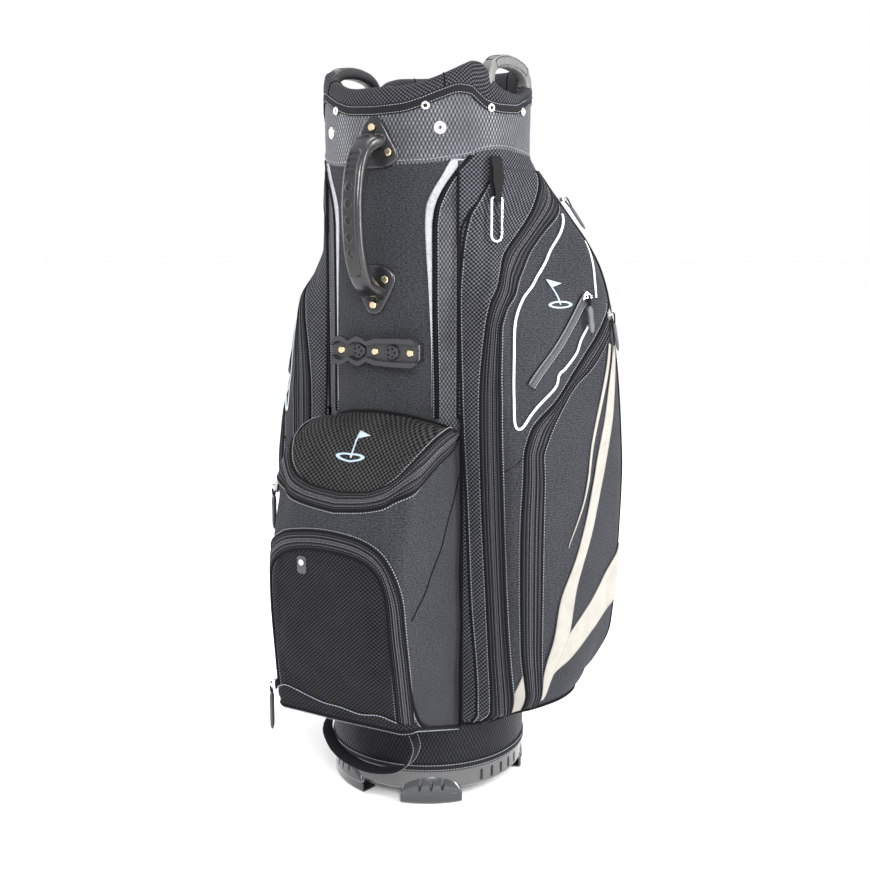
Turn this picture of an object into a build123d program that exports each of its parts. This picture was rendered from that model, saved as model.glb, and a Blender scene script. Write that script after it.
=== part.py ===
from build123d import *
import math
import os

# Golf cart bag: a round barrel with a 14-way top, standing on a moulded base,
# with a ball pocket and a lidded pocket in front and a large garment pocket on each side.
# Frame: +Z up, the ball pocket faces -Y, a garment pocket stands out to each side along X.
# Origin: on the floor, in the middle of the bag's footprint.

# ---------------------------------------------------------------- driving dimensions (mm)
TY = 49.1            # barrel axis, behind the origin
SKIN_R = 121.0       # outside of the barrel's fabric and of the boot
TUBE_R = 118.0       # outside of the barrel tube
TUBE_T = 2.5         # wall of the barrel tube
BASE_TOP = 42.0      # top of the moulded base
BOOT_TOP = 103.0     # top of the embossed boot, where the pockets begin
CUFF_Z = 752.0       # bottom of the embossed top cuff
CUFF_TOP = 828.0     # top of the embossed top cuff
WELL_R = 104.0       # inner radius of the top's mouth
ROW_Y = 52.0         # spacing of the full-width dividers
RAIL_W = 9.0         # padded divider rail, width
RAIL_Z0, RAIL_Z1 = 822.0, 838.0
FOOT_ANGLES = (31.0, -31.0, 128.0, -128.0)
PANEL_A = 33.0       # half angle of the front panel
STRIP_A = 46.0       # outer angle of the mesh strips beside it
PK_X = 91.0          # half width of the front pockets
PK_FRONT = [(-203.0, 134.0), (-210.0, 200.0), (-216.0, 270.0), (-217.0, 330.0), (-209.0, 384.0)]
GAP = 0.4            # clearance between a door and its frame
WALL = 3.0           # padded fabric wall

os.makedirs("parts", exist_ok=True)


# ---------------------------------------------------------------- planes
def level(h, turn=0.0):
    """Horizontal plane at height h on the barrel axis, turned by an angle from the front."""
    a = math.radians(turn)
    return Plane(origin=(0, TY, h), x_dir=(math.cos(a), math.sin(a), 0), z_dir=(0, 0, 1))


def fore(y):
    """Upright plane facing the front at depth y from the barrel axis: local x is X, local y is Z."""
    return Plane(origin=(0, TY + y, 0), x_dir=(1, 0, 0), z_dir=(0, -1, 0))


def flank(x):
    """Upright plane facing +X: local x is the depth from the barrel axis, local y is Z."""
    return Plane(origin=(x, TY, 0), x_dir=(0, 1, 0), z_dir=(1, 0, 0))


def radial(a, r, h):
    """Plane tangent to the barrel at angle a from the front: local x runs round, local y is up."""
    t = math.radians(a)
    return Plane(
        origin=(r * math.sin(t), TY - r * math.cos(t), h),
        x_dir=(math.cos(t), math.sin(t), 0),
        z_dir=(math.sin(t), -math.cos(t), 0),
    )


def sector(r0, r1, a0, a1):
    """Annular sector between two angles from the front."""
    with BuildSketch() as shape:
        with BuildLine():
            outer = CenterArc((0, 0), r1, a0 - 90, a1 - a0)
            inner = CenterArc((0, 0), r0, a0 - 90, a1 - a0)
            Line(outer @ 0, inner @ 0)
            Line(outer @ 1, inner @ 1)
        make_face()
    return shape.sketch


def finish(piece, label):
    piece.part.label = label
    export_step(piece.part, f"parts/{label}.step")


# ---------------------------------------------------------------- base and boot
with BuildPart() as base_moulding:
    with BuildSketch(level(16)):
        Circle(119)
    extrude(amount=BASE_TOP - 16)
    chamfer(base_moulding.edges().sort_by(Axis.Z)[0], 4)
    with BuildSketch(level(20)):
        Circle(112.5)
    extrude(amount=30, mode=Mode.SUBTRACT)
    # slots moulded in both flanks
    for s in (1, -1):
        for k in range(5):
            with BuildSketch(radial(s * (62 + 8 * k), 116.5, 29)):
                SlotOverall(14, 4.5, rotation=90)
            extrude(amount=6, mode=Mode.SUBTRACT)
    # recess behind each foot
    for a in FOOT_ANGLES:
        with BuildSketch(level(0, a)):
            add(sector(96, 114, -18.6, 18.6))
        extrude(amount=19, mode=Mode.SUBTRACT)
finish(base_moulding, "base_moulding")

with BuildPart() as base_feet:
    for a in FOOT_ANGLES:
        with BuildSketch(level(0, a)):
            add(sector(97, 113, -18, 18))
        extrude(amount=18.5)
        with BuildSketch(level(0, a)):
            add(sector(113, 119.5, -18, 18))
        extrude(amount=13)
        with BuildSketch(level(6, a)):
            add(sector(119.3, 123.5, -15, 15))
        extrude(amount=30)
finish(base_feet, "base_feet")

with BuildPart() as boot_shell:
    with BuildSketch(level(52.4)):
        Circle(SKIN_R)
        Circle(TUBE_R + 0.2, mode=Mode.SUBTRACT)
    extrude(amount=BOOT_TOP - 52.4)
finish(boot_shell, "boot_shell")

with BuildPart() as boot_binding:
    with BuildSketch(level(42.2)):
        Circle(122)
        Circle(TUBE_R + 0.2, mode=Mode.SUBTRACT)
    extrude(amount=10)
finish(boot_binding, "boot_binding")

# ---------------------------------------------------------------- barrel
with BuildPart() as barrel_tube:
    with BuildSketch(level(20.3)):
        Circle(112.2)
        Circle(109, mode=Mode.SUBTRACT)
    extrude(amount=22.1)
    with BuildSketch(level(42.4)):
        Circle(TUBE_R)
        Circle(109, mode=Mode.SUBTRACT)
    extrude(amount=3)
    with BuildSketch(level(45.4)):
        Circle(TUBE_R)
        Circle(TUBE_R - TUBE_T, mode=Mode.SUBTRACT)
    extrude(amount=812 - 45.4)
finish(barrel_tube, "barrel_tube")

with BuildPart() as floor_pad:
    with BuildSketch(level(20.3)):
        Circle(108.6)
    extrude(amount=4)
finish(floor_pad, "floor_pad")

with BuildPart() as support_stays:
    for a in (45, 135, 225, 315):
        t = math.radians(a)
        with BuildSketch(level(46)):
            with Locations((112.2 * math.sin(t), -112.2 * math.cos(t))):
                Circle(2.5)
        extrude(amount=765)
finish(support_stays, "support_stays")

with BuildPart() as front_panel:
    with BuildSketch(level(BOOT_TOP + 0.3)):
        add(sector(TUBE_R + 0.2, SKIN_R, -PANEL_A, PANEL_A))
    extrude(amount=CUFF_Z - BOOT_TOP - 0.6)
finish(front_panel, "front_panel")

with BuildPart() as mesh_strips:
    with BuildSketch(level(BOOT_TOP + 0.3)):
        add(sector(TUBE_R + 0.2, SKIN_R, PANEL_A + 0.2, STRIP_A))
        add(sector(TUBE_R + 0.2, SKIN_R, -STRIP_A, -PANEL_A - 0.2))
    extrude(amount=CUFF_Z - BOOT_TOP - 0.6)
finish(mesh_strips, "mesh_strips")

with BuildPart() as back_panel:
    with BuildSketch(level(BOOT_TOP + 0.3)):
        add(sector(TUBE_R + 0.2, SKIN_R, STRIP_A + 0.2, 360 - STRIP_A - 0.2))
    extrude(amount=CUFF_Z - BOOT_TOP - 0.6)
finish(back_panel, "back_panel")

# ---------------------------------------------------------------- top cuff and snaps
with BuildPart() as upper_cuff:
    with BuildSketch(level(CUFF_Z)):
        Circle(SKIN_R + 0.6)
        Circle(TUBE_R + 0.2, mode=Mode.SUBTRACT)
    extrude(amount=CUFF_TOP - CUFF_Z)
finish(upper_cuff, "upper_cuff")

with BuildPart() as cuff_binding:
    with BuildSketch(level(807)):
        Circle(SKIN_R + 2.2)
        Circle(SKIN_R + 0.8, mode=Mode.SUBTRACT)
    extrude(amount=24)
finish(cuff_binding, "cuff_binding")

with BuildPart() as snaps_small:
    for a in (28, -28, 64, -64, 91, -91, 135, -135):
        with BuildSketch(radial(a, SKIN_R + 2.4, 814)):
            Circle(4.6)
        extrude(amount=1.2)
        with BuildSketch(radial(a, SKIN_R + 3.6, 814)):
            Circle(3.0)
        extrude(amount=1.0)
finish(snaps_small, "snaps_small")

with BuildPart() as snaps_large:
    for a in (35.5, -35.5, 144, -144):
        with BuildSketch(radial(a, SKIN_R + 0.9, 791)):
            Circle(7.0)
        extrude(amount=1.6)
        with BuildSketch(radial(a, SKIN_R + 2.5, 791)):
            Circle(4.4)
            Circle(2.2, mode=Mode.SUBTRACT)
        extrude(amount=1.2)
finish(snaps_large, "snaps_large")

# ---------------------------------------------------------------- moulded top, lift handles, dividers
with BuildPart() as top_ring:
    with BuildSketch(level(812.3)):
        Circle(117.8)
        Circle(WELL_R + 1, mode=Mode.SUBTRACT)
    extrude(amount=14)
finish(top_ring, "top_ring")

with BuildPart() as top_collar:
    for a0, a1 in ((-60, 60), (120, 240)):
        with BuildSketch(level(831.5)):
            add(sector(WELL_R + 1, 122.5, a0, a1))
        extrude(amount=27)
    chamfer(top_collar.faces().group_by(Axis.Z)[-1].edges(), 5)
finish(top_collar, "top_collar")

for s, label in ((1, "lift_handle_right"), (-1, "lift_handle_left")):
    with BuildPart() as lift_handle:
        # foot of the handle, following the ring
        with BuildSketch(level(828.4)):
            add(sector(WELL_R + 1, 120.3, s * 90 - 29.5, s * 90 + 29.5))
        extrude(amount=10)
        # arched bar over the finger gap
        with BuildSketch(flank(97 if s > 0 else -110)):
            with BuildLine():
                Polyline((-54, 836), (-54, 858), (-44, 868), (-24, 875), (0, 877), (24, 875), (44, 868), (54, 858), (54, 836),
                         (43, 836), (42, 851), (30, 858.5), (10, 861.5), (-10, 861.5), (-30, 858.5), (-42, 851), (-43, 836), close=True)
            make_face()
        extrude(amount=13)
        # trim to the ring's width
        with BuildSketch(level(820)):
            add(sector(92, 120.3, s * 90 - 36, s * 90 + 36))
        extrude(amount=80, mode=Mode.INTERSECT)
    finish(lift_handle, label)


def chord(y, r):
    return math.sqrt(r * r - y * y)


with BuildPart() as divider_rails_wide:
    for y in (-ROW_Y, 0, ROW_Y):
        half = chord(abs(y) + RAIL_W / 2, WELL_R)
        with BuildSketch(level(RAIL_Z0)):
            with Locations((0, y)):
                Rectangle(2 * half, RAIL_W)
        extrude(amount=RAIL_Z1 - RAIL_Z0)
    chamfer(divider_rails_wide.faces().group_by(Axis.Z)[-1].edges().filter_by(Axis.X), 2.5)
finish(divider_rails_wide, "divider_rails_wide")

# (x, y0, y1) of each short divider between the wide ones
SHORT = []
for x in (-30, 30):
    end = chord(abs(x) + RAIL_W / 2, WELL_R)
    SHORT += [(x, -end, -ROW_Y - RAIL_W / 2 - 0.1), (x, ROW_Y + RAIL_W / 2 + 0.1, end)]
for x in (-52, 0, 52):
    SHORT += [(x, -ROW_Y + RAIL_W / 2 + 0.1, -RAIL_W / 2 - 0.1), (x, RAIL_W / 2 + 0.1, ROW_Y - RAIL_W / 2 - 0.1)]

with BuildPart() as divider_rails_short:
    for x, y0, y1 in SHORT:
        with BuildSketch(level(RAIL_Z0)):
            with Locations((x, (y0 + y1) / 2)):
                Rectangle(RAIL_W, y1 - y0)
        extrude(amount=RAIL_Z1 - RAIL_Z0 - 1)
    chamfer(divider_rails_short.faces().group_by(Axis.Z)[-1].edges().filter_by(Axis.Y), 2.5)
finish(divider_rails_short, "divider_rails_short")

with BuildPart() as divider_walls_wide:
    for y in (-ROW_Y, 0, ROW_Y):
        half = chord(abs(y) + 1.0, 107.5)
        with BuildSketch(level(25)):
            with Locations((0, y)):
                Rectangle(2 * half, 2.0)
        extrude(amount=RAIL_Z0 - 25 - 10.2)
finish(divider_walls_wide, "divider_walls_wide")

with BuildPart() as divider_walls_short:
    for x, y0, y1 in SHORT:
        a = y0 + (-2 if abs(y0) > 60 else -(RAIL_W / 2 - 1.3))
        b = y1 + (2 if abs(y1) > 60 else (RAIL_W / 2 - 1.3))
        with BuildSketch(level(25)):
            with Locations((x, (a + b) / 2)):
                Rectangle(2.0, b - a)
        extrude(amount=RAIL_Z0 - 25 - 10.2)
finish(divider_walls_short, "divider_walls_short")

# ---------------------------------------------------------------- carry handle on the front
HANDLE_TOP, HANDLE_LOW = 778.0, 612.0

with BuildPart() as handle_end_plates:
    with BuildSketch(fore(-121.8)):
        with BuildLine():
            Polyline((0, 803), (10, 800), (15, 792), (26, 772), (29, 762), (25, 754), (12, 748), (-12, 748), (-25, 754),
                     (-29, 762), (-26, 772), (-15, 792), (-10, 800), close=True)
        make_face()
    extrude(amount=4.2)
    with BuildSketch(fore(-121.4)):
        with BuildLine():
            Polyline((0, 587), (8, 590), (12, 598), (22, 616), (25, 627), (21, 635), (11, 641), (-11, 641), (-21, 635),
                     (-25, 627), (-22, 616), (-12, 598), (-8, 590), close=True)
        make_face()
    extrude(amount=4.2)
    with BuildSketch(fore(-115)):
        with Locations((0, 792), (21, 765), (-21, 765), (0, 597.5), (16, 626), (-16, 626)):
            Circle(2.1)
    extrude(amount=20, mode=Mode.SUBTRACT)
finish(handle_end_plates, "handle_end_plates")

with BuildPart() as handle_screws:
    with BuildSketch(fore(-126.1)):
        with Locations((0, 792), (21, 765), (-21, 765), (0, 597.5), (16, 626), (-16, 626)):
            Circle(4.2)
    extrude(amount=2.0)
    with BuildSketch(fore(-122.2)):
        with Locations((0, 792), (21, 765), (-21, 765), (0, 597.5), (16, 626), (-16, 626)):
            Circle(2.0)
    extrude(amount=4.0)
    chamfer(handle_screws.faces().group_by(Axis.Y)[0].edges(), 0.8)
finish(handle_screws, "handle_screws")

# the bow of the handle: (depth, height) outside and inside
BOW_OUT = [(-126.1, 784), (-140, 781), (-156, 768), (-167, 748), (-173, 720), (-174, 694), (-171, 664), (-163, 638),
           (-150, 618), (-136, 608), (-126.1, 605)]
BOW_IN = [(-126.1, 618), (-134, 623), (-145, 634), (-153, 650), (-158, 672), (-160, 694), (-159, 718), (-154, 740),
          (-145, 757), (-135, 766), (-126.1, 769)]
with BuildPart() as carry_handle:
    with BuildSketch(flank(-12.5)):
        with BuildLine():
            Spline(*BOW_OUT)
            Line(BOW_OUT[-1], BOW_IN[0])
            Spline(*BOW_IN)
            Line(BOW_IN[-1], BOW_OUT[0])
        make_face()
    extrude(amount=25)
finish(carry_handle, "carry_handle")

with BuildPart() as handle_grip_insert:
    with BuildSketch(flank(-8.5)):
        with BuildLine():
            outer = Spline((-162.2, 766), (-171.8, 746), (-177.2, 720), (-178.2, 694), (-175.2, 662), (-167.6, 638))
            inner = Spline((-160.2, 763.6), (-168.2, 748), (-174.2, 720), (-175.2, 694), (-172.2, 664), (-165.2, 640))
            Line(outer @ 0, inner @ 0)
            Line(outer @ 1, inner @ 1)
        make_face()
    extrude(amount=17)
finish(handle_grip_insert, "handle_grip_insert")

# ---------------------------------------------------------------- accessory bracket
with BuildPart() as accessory_plate:
    with BuildSketch(fore(-121.5)):
        with Locations((0, 545)):
            RectangleRounded(112, 24, 8)
    extrude(amount=4)
    with BuildSketch(fore(-118)):
        with Locations((-43, 545), (2, 545), (48, 545)):
            Circle(2.1)
    extrude(amount=12, mode=Mode.SUBTRACT)
finish(accessory_plate, "accessory_plate")

with BuildPart() as accessory_rails:
    for s in (1, -1):
        with BuildSketch(fore(-125.8)):
            with BuildLine():
                pts = [(-56, 8.5), (-50, 15), (-43, 17), (-36, 14.5), (-31, 11), (-26, 14.5), (-19, 17), (-12, 14.5), (-7, 11.5),
                       (4, 15), (30, 16), (52, 16), (57, 13), (57, 9.4), (50, 10.4), (30, 10.6), (6, 9.8), (-7, 6.6), (-14, 10),
                       (-19, 11.4), (-25, 9.8), (-31, 6.2), (-37, 9.8), (-43, 11.4), (-49, 9.8), (-53, 5.5)]
                Polyline(*[(x, 545 + s * z) for x, z in pts], close=True)
            make_face()
        extrude(amount=6.5)
finish(accessory_rails, "accessory_rails")

with BuildPart() as accessory_discs:
    with BuildSketch(fore(-125.8)):
        with Locations((-19, 545), (25, 545)):
            Circle(8.6)
    extrude(amount=3.4)
    chamfer(accessory_discs.faces().group_by(Axis.Y)[0].edges(), 1)
    # tee sockets in each disc
    with BuildSketch(fore(-127)):
        with Locations((-19, 545), (25, 545)):
            with PolarLocations(4.6, 5):
                Circle(1.3)
    extrude(amount=6, mode=Mode.SUBTRACT)
finish(accessory_discs, "accessory_discs")

with BuildPart() as accessory_screws:
    with BuildSketch(fore(-125.6)):
        with Locations((-43, 545), (2, 545), (48, 545)):
            Circle(4.2)
    extrude(amount=2.2)
    with BuildSketch(fore(-121.8)):
        with Locations((-43, 545), (2, 545), (48, 545)):
            Circle(2.0)
    extrude(amount=4.0)
    chamfer(accessory_screws.faces().group_by(Axis.Y)[0].edges(), 0.8)
finish(accessory_screws, "accessory_screws")

# ---------------------------------------------------------------- ball pocket
ARCH = [(-80, 146), (78, 146), (77, 240), (74, 290), (62, 318), (40, 334), (0, 341), (-40, 339), (-70, 330), (-86, 310),
        (-88, 280), (-88, 220)]
SPLIT_Z = 366.0      # floor of the lidded pocket


def grown(points, d, cx, cz):
    """Outline moved outward from a middle point by about d."""
    out = []
    for x, z in points:
        n = math.hypot(x - cx, z - cz)
        out.append((x + d * (x - cx) / n, z + d * (z - cz) / n))
    return out


def front_slab(depth0, depth1, extra):
    """Side view of the pocket's bowed front, from depth0 to depth1 behind its face."""
    zs = PK_FRONT
    return [(y + depth0, z) for y, z in zs] + [(y + depth1, z) for y, z in reversed(zs)]


with BuildPart() as ball_pocket_body:
    with BuildSketch(flank(-PK_X)):
        with BuildLine():
            Polyline((-84, 98), (-121, 101), (-152, 113), (-203, 134), (-210, 200), (-216, 270), (-217, 330),
                     (-210.4, SPLIT_Z - 0.2), (-70, SPLIT_Z - 0.2), (-70, 98), close=True)
        make_face()
    extrude(amount=2 * PK_X)
    # hollow
    with BuildSketch(flank(-PK_X + WALL)):
        with BuildLine():
            Polyline((-80, 103), (-121, 106), (-152, 118), (-199.5, 138), (-206.5, 200), (-212.5, 270), (-213.5, 330),
                     (-207.5, SPLIT_Z - 3.5), (-60, SPLIT_Z - 3.5), (-60, 103), close=True)
        make_face()
    extrude(amount=2 * (PK_X - WALL), mode=Mode.SUBTRACT)
    # doorway
    with BuildSketch(fore(-190)):
        with BuildLine():
            Polyline(*ARCH, close=True)
        make_face()
    extrude(amount=60, mode=Mode.SUBTRACT)
    # the barrel stands in the pocket's back
    with BuildSketch(level(90)):
        Circle(SKIN_R + 0.3)
    extrude(amount=300, mode=Mode.SUBTRACT)
finish(ball_pocket_body, "ball_pocket_body")

with BuildPart() as ball_pocket_door:
    with BuildSketch(flank(-PK_X)):
        with BuildLine():
            Polyline((-204.6, 140), (-210.4, 200), (-216.4, 270), (-217.4, 345), (-214.0, 345), (-213.0, 270), (-207.0, 200),
                     (-201.2, 140), close=True)
        make_face()
    extrude(amount=2 * PK_X)
    with BuildSketch(fore(-190)):
        with BuildLine():
            Polyline(*grown(ARCH, -0.9, -6, 240), close=True)
        make_face()
    extrude(amount=60, mode=Mode.INTERSECT)
finish(ball_pocket_door, "ball_pocket_door")

with BuildPart() as emblem_tab:
    with BuildSketch(fore(-218.2)):
        with Locations((-38, 313)):
            RectangleRounded(12, 20, 4)
    extrude(amount=2.4)
    with BuildSketch(fore(-220.6)):
        with Locations((-38, 316)):
            Circle(4)
    extrude(amount=0.8)
finish(emblem_tab, "emblem_tab")

# ---------------------------------------------------------------- lidded pocket above it
with BuildPart() as upper_pocket_body:
    with BuildSketch(flank(-PK_X)):
        with BuildLine():
            Polyline((-210.2, SPLIT_Z + 0.2), (-208, 380), (-203, 385), (-127, 463), (-70, 463), (-70, SPLIT_Z + 0.2), close=True)
        make_face()
    extrude(amount=2 * PK_X)
    with BuildSketch(flank(-PK_X + WALL)):
        with BuildLine():
            Polyline((-206.5, SPLIT_Z + 3.5), (-205, 500), (-60, 500), (-60, SPLIT_Z + 3.5), close=True)
        make_face()
    extrude(amount=2 * (PK_X - WALL), mode=Mode.SUBTRACT)
    with BuildSketch(level(350)):
        Circle(SKIN_R + 0.3)
    extrude(amount=300, mode=Mode.SUBTRACT)
finish(upper_pocket_body, "upper_pocket_body")

with BuildPart() as upper_pocket_lid:
    with BuildSketch(flank(-PK_X + 1)):
        with BuildLine():
            Polyline((-209.0, 383.4), (-209.4, 387.6), (-205, 390.4), (-127.5, 470), (-124.5, 468), (-125.5, 465.2), (-203.2, 386.0), close=True)
        make_face()
    extrude(amount=2 * PK_X - 2)
finish(upper_pocket_lid, "upper_pocket_lid")

# ---------------------------------------------------------------- garment pockets
# Plan of the pocket at its fullest, from the front seam round to the back seam.
PLAN = [(86, -86), (118, -86), (144, -84), (166, -76), (183, -59), (203, -20), (215, 20), (221, 56), (222, 82), (212, 104), (188, 112),
        (150, 112), (100, 100), (76, 94)]
FRONT_I = (0, 1, 2, 3, 4)
# height, fullness of the front corner, fullness of the outer back
LEVELS = [(99.0, 0.05, 0.03), (112.0, 0.45, 0.28), (128.0, 0.85, 0.58), (152.0, 1.0, 0.76), (195.0, 1.0, 0.92), (300.0, 1.0, 0.98),
          (390.0, 1.0, 1.0), (440.0, 0.93, 0.98), (500.0, 0.78, 0.94), (556.0, 0.68, 0.88), (600.0, 0.53, 0.82), (632.0, 0.22, 0.74),
          (662.0, 0.05, 0.61), (695.0, 0.02, 0.41), (730.0, 0.01, 0.19), (750.5, 0.01, 0.06)]


def plan_at(f, g):
    """Outline between the barrel and the full plan: f at the front corner, g at the outer back."""
    out = []
    for i, (x, y) in enumerate(PLAN):
        r = math.hypot(x, y)
        tx, ty = x / r * (SKIN_R + 1.5), y / r * (SKIN_R + 1.5)
        if i <= 3:
            k = min(1.0, 1.6 * f) if i == 1 else (min(1.0, 1.25 * f) if i == 2 else f)
            k = f if i == 3 else k
            k = 1.0 if i == 0 else k
        elif i == 4:
            k = f
        elif i == 5:
            k = 0.85 * f + 0.15 * g
        elif i == 6:
            k = 0.5 * f + 0.5 * g
        else:
            k = g
        out.append((tx + k * (x - tx), ty + k * (y - ty)))
    return out


def shrunk(points, d):
    """Outline moved inward by d, mitred."""
    n = len(points)
    out = []
    for i in range(n):
        (x0, y0), (x1, y1), (x2, y2) = points[i - 1], points[i], points[(i + 1) % n]
        if i == 0:
            x0, y0 = x1 - 10, y1
        if i == n - 1:
            x2, y2 = x1 - 10, y1
        ax, ay = x1 - x0, y1 - y0
        bx, by = x2 - x1, y2 - y1
        la, lb = math.hypot(ax, ay), math.hypot(bx, by)
        nx, ny = -ay / la - by / lb, ax / la + bx / lb
        ln = math.hypot(nx, ny)
        nx, ny = nx / ln, ny / ln
        c = max(0.5, nx * (-ay / la) + ny * (ax / la))
        out.append((x1 + nx * d / c, y1 + ny * d / c))
    return out


CORE = [(50, 60), (40, 0), (50, -60)]
DOOR_EDGE = [(-55, 152), (-55, 430), (-40, 470), (0, 522), (62, 590), (92, 590), (92, 152)]


def garment_shell():
    """Hollow side pocket, open towards the barrel."""
    with BuildPart() as shell:
        for h, f, g in LEVELS:
            with BuildSketch(level(h)):
                with BuildLine():
                    Polyline(*plan_at(f, g), *CORE, close=True)
                make_face()
        loft(ruled=True)
        for h, f, g in [v for v in LEVELS if 120 < v[0] < 640]:
            h = {128.0: 131.0, 632.0: 629.0}.get(h, h)
            with BuildSketch(level(h)):
                with BuildLine():
                    Polyline(*shrunk(plan_at(f, g), WALL), (30, 60), (20, 0), (30, -60), close=True)
                make_face()
        loft(ruled=True, mode=Mode.SUBTRACT)
    return shell.part


with BuildPart() as garment_pocket_right:
    add(garment_shell())
    with BuildSketch(flank(150)):
        with BuildLine():
            Polyline(*DOOR_EDGE, close=True)
        make_face()
    extrude(amount=100, mode=Mode.SUBTRACT)
    with BuildSketch(level(90)):
        Circle(SKIN_R + 0.4)
    extrude(amount=700, mode=Mode.SUBTRACT)
    # clear of the front pockets' sides
    with BuildSketch(flank(0)):
        with Locations((-150, 500)):
            Rectangle(300, 1100)
    extrude(amount=PK_X + 0.5, mode=Mode.SUBTRACT)
    with BuildSketch(flank(0)):
        Rectangle(600, 2000)
    extrude(amount=86, mode=Mode.SUBTRACT)
finish(garment_pocket_right, "garment_pocket_right")

with BuildPart() as garment_door_right:
    add(garment_shell())
    with BuildSketch(flank(150)):
        with BuildLine():
            Polyline(*grown(DOOR_EDGE, -1.0, 20, 350), close=True)
        make_face()
    extrude(amount=100, mode=Mode.INTERSECT)
finish(garment_door_right, "garment_door_right")

with BuildPart() as garment_pocket_left:
    mirror(garment_pocket_right.part, about=Plane.YZ)
finish(garment_pocket_left, "garment_pocket_left")

with BuildPart() as garment_door_left:
    mirror(garment_door_right.part, about=Plane.YZ)
finish(garment_door_left, "garment_door_left")


# ---------------------------------------------------------------- zip sliders and pulls
def zip_planes(p, out, run):
    """Planes on a zip, local z outward: one along the zip's run, one upright with a level x."""
    z = Vector(*out).normalized()
    y = Vector(*run)
    y = (y - z * y.dot(z)).normalized()
    flat = Vector(-z.Y, z.X, 0).normalized()
    o = Vector(p[0], p[1] + TY, p[2])
    return Plane(origin=o, x_dir=y.cross(z), z_dir=z), Plane(origin=o, x_dir=flat, z_dir=z)


def slider_body(along, upright, pin):
    """Die-cast slider, with a bridge and a level cross pin that stands out by pin."""
    side = Plane(origin=upright.origin - upright.x_dir * 3.4, x_dir=upright.z_dir, z_dir=upright.x_dir)
    s_up = 1 if side.y_dir.dot(upright.y_dir) > 0 else -1
    with BuildPart() as body:
        with BuildSketch(along):
            with BuildLine():
                Polyline((-4, 6), (4, 6), (4.8, 0), (3, -6), (-3, -6), (-4.8, 0), close=True)
            make_face()
        extrude(amount=3.4)
        with BuildSketch(upright.offset(3.0)):
            with Locations((-2.85, 0), (2.85, 0)):
                Rectangle(1.1, 3.6)
        extrude(amount=pin - 3.0 + 1.4)
        with BuildSketch(side):
            with Locations((pin, 0)):
                Circle(0.8)
        extrude(amount=6.8)
    return body.part


def pull_body(upright, pin, down, length):
    """Cord loop and moulded tag hanging from the slider's pin along a direction."""
    across = upright.x_dir
    o = upright.origin + upright.z_dir * pin
    d = Vector(*down).normalized()
    d = (d - across * d.dot(across)).normalized()
    away = across.cross(d)
    if away.dot(upright.z_dir) < 0:
        away = away * -1
    side = Plane(origin=o - across * 1.8, x_dir=d, z_dir=across)
    face = Plane(origin=o - away * 1.6, x_dir=d, z_dir=away)
    tag = [(10, -1.8), (16, -4.6), (length - 8, -4.2), (length, -2), (length, 2), (length - 8, 4.2), (16, 4.6), (10, 1.8)]
    with BuildPart() as body:
        with BuildSketch(side):
            Circle(2.1)
            with Locations((7, 0)):
                Rectangle(14, 3.0)
            Circle(1.2, mode=Mode.SUBTRACT)
        extrude(amount=3.6)
        with BuildSketch(face):
            with BuildLine():
                Polyline(*tag, close=True)
            make_face()
        extrude(amount=3.2)
    return body.part


# point on the zip, outward direction, direction of the run, height of the pin, direction and length of the pull
ZIPS = {
    "ball": ((-92.5, -199.0, 156.0), (-1, -0.2, 0), (0, 0, 1), 6.4, (0, 0, -1), 46),
    "lid": ((-92.5, -186.0, 390.0), (-1, -0.2, 0), (0, 0.66, 0.75), 6.4, (0, 0, -1), 40),
    "side": ((149.5, 57.0, 714.0), (0.80, 0.2, 0.56), (0.0, 0.76, 0.65), 6.4, (0.53, 0.18, -0.83), 42),
    "garment": ((207.2, 66.0, 582.0), (0.97, 0.16, 0.18), (0.02, 0.71, 0.70), 6.4, (0.17, 0.05, -0.98), 44),
    "door": ((192.6, 30.7, 603.3), (0.87, -0.44, 0.22), (0.146, 0.6585, 0.738), 6.4, (0.2, 0, -0.98), 42),
}

for key, (p, out, run, pin, down, length) in ZIPS.items():
    along, upright = zip_planes(p, out, run)
    right = "_right" if key in ("side", "garment", "door") else ""
    with BuildPart() as slider:
        add(slider_body(along, upright, pin))
    finish(slider, f"{key}_zip_slider{right}")
    with BuildPart() as pull:
        add(pull_body(upright, pin, down, length))
    finish(pull, f"{key}_zip_pull{right}")
    if right:
        with BuildPart() as slider_left:
            mirror(slider.part, about=Plane.YZ)
        finish(slider_left, f"{key}_zip_slider_left")
        with BuildPart() as pull_left:
            mirror(pull.part, about=Plane.YZ)
        finish(pull_left, f"{key}_zip_pull_left")

# ---------------------------------------------------------------- towel loop and carabiner
LOOP_A = 66.0
LOOP_R = 125.2
with BuildPart() as towel_loop:
    # a folded strip of webbing, narrowed at the fold where the carabiner hangs
    for r, z, w, h, t in ((0, 738.5, 15, 31, 1.4), (0, 717.5, 8.6, 11, 1.4), (1.4, 746, 15, 16, 4.6), (6.0, 738.5, 15, 31, 1.4),
                          (6.0, 717.5, 8.6, 11, 1.4), (1.4, 712.8, 8.6, 1.6, 4.6)):
        with BuildSketch(radial(LOOP_A, LOOP_R + r, 0)):
            with Locations((0, z)):
                Rectangle(w, h)
        extrude(amount=t)
finish(towel_loop, "towel_loop")

CARA = radial(LOOP_A, LOOP_R + 3.7, 716.2)   # inside of the webbing's fold
with BuildPart() as carabiner_body:
    with BuildLine(CARA):
        path = FilletPolyline((7.6, -13), (7.6, 0), (-7.6, 0), (-7.6, -48), (7.6, -48), (7.6, -36), radius=[2.4, 2.4, 7.5, 7.5])
    with BuildSketch(Plane(origin=path @ 0, z_dir=path % 0)):
        Circle(1.7)
    sweep()
finish(carabiner_body, "carabiner_body")

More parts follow.
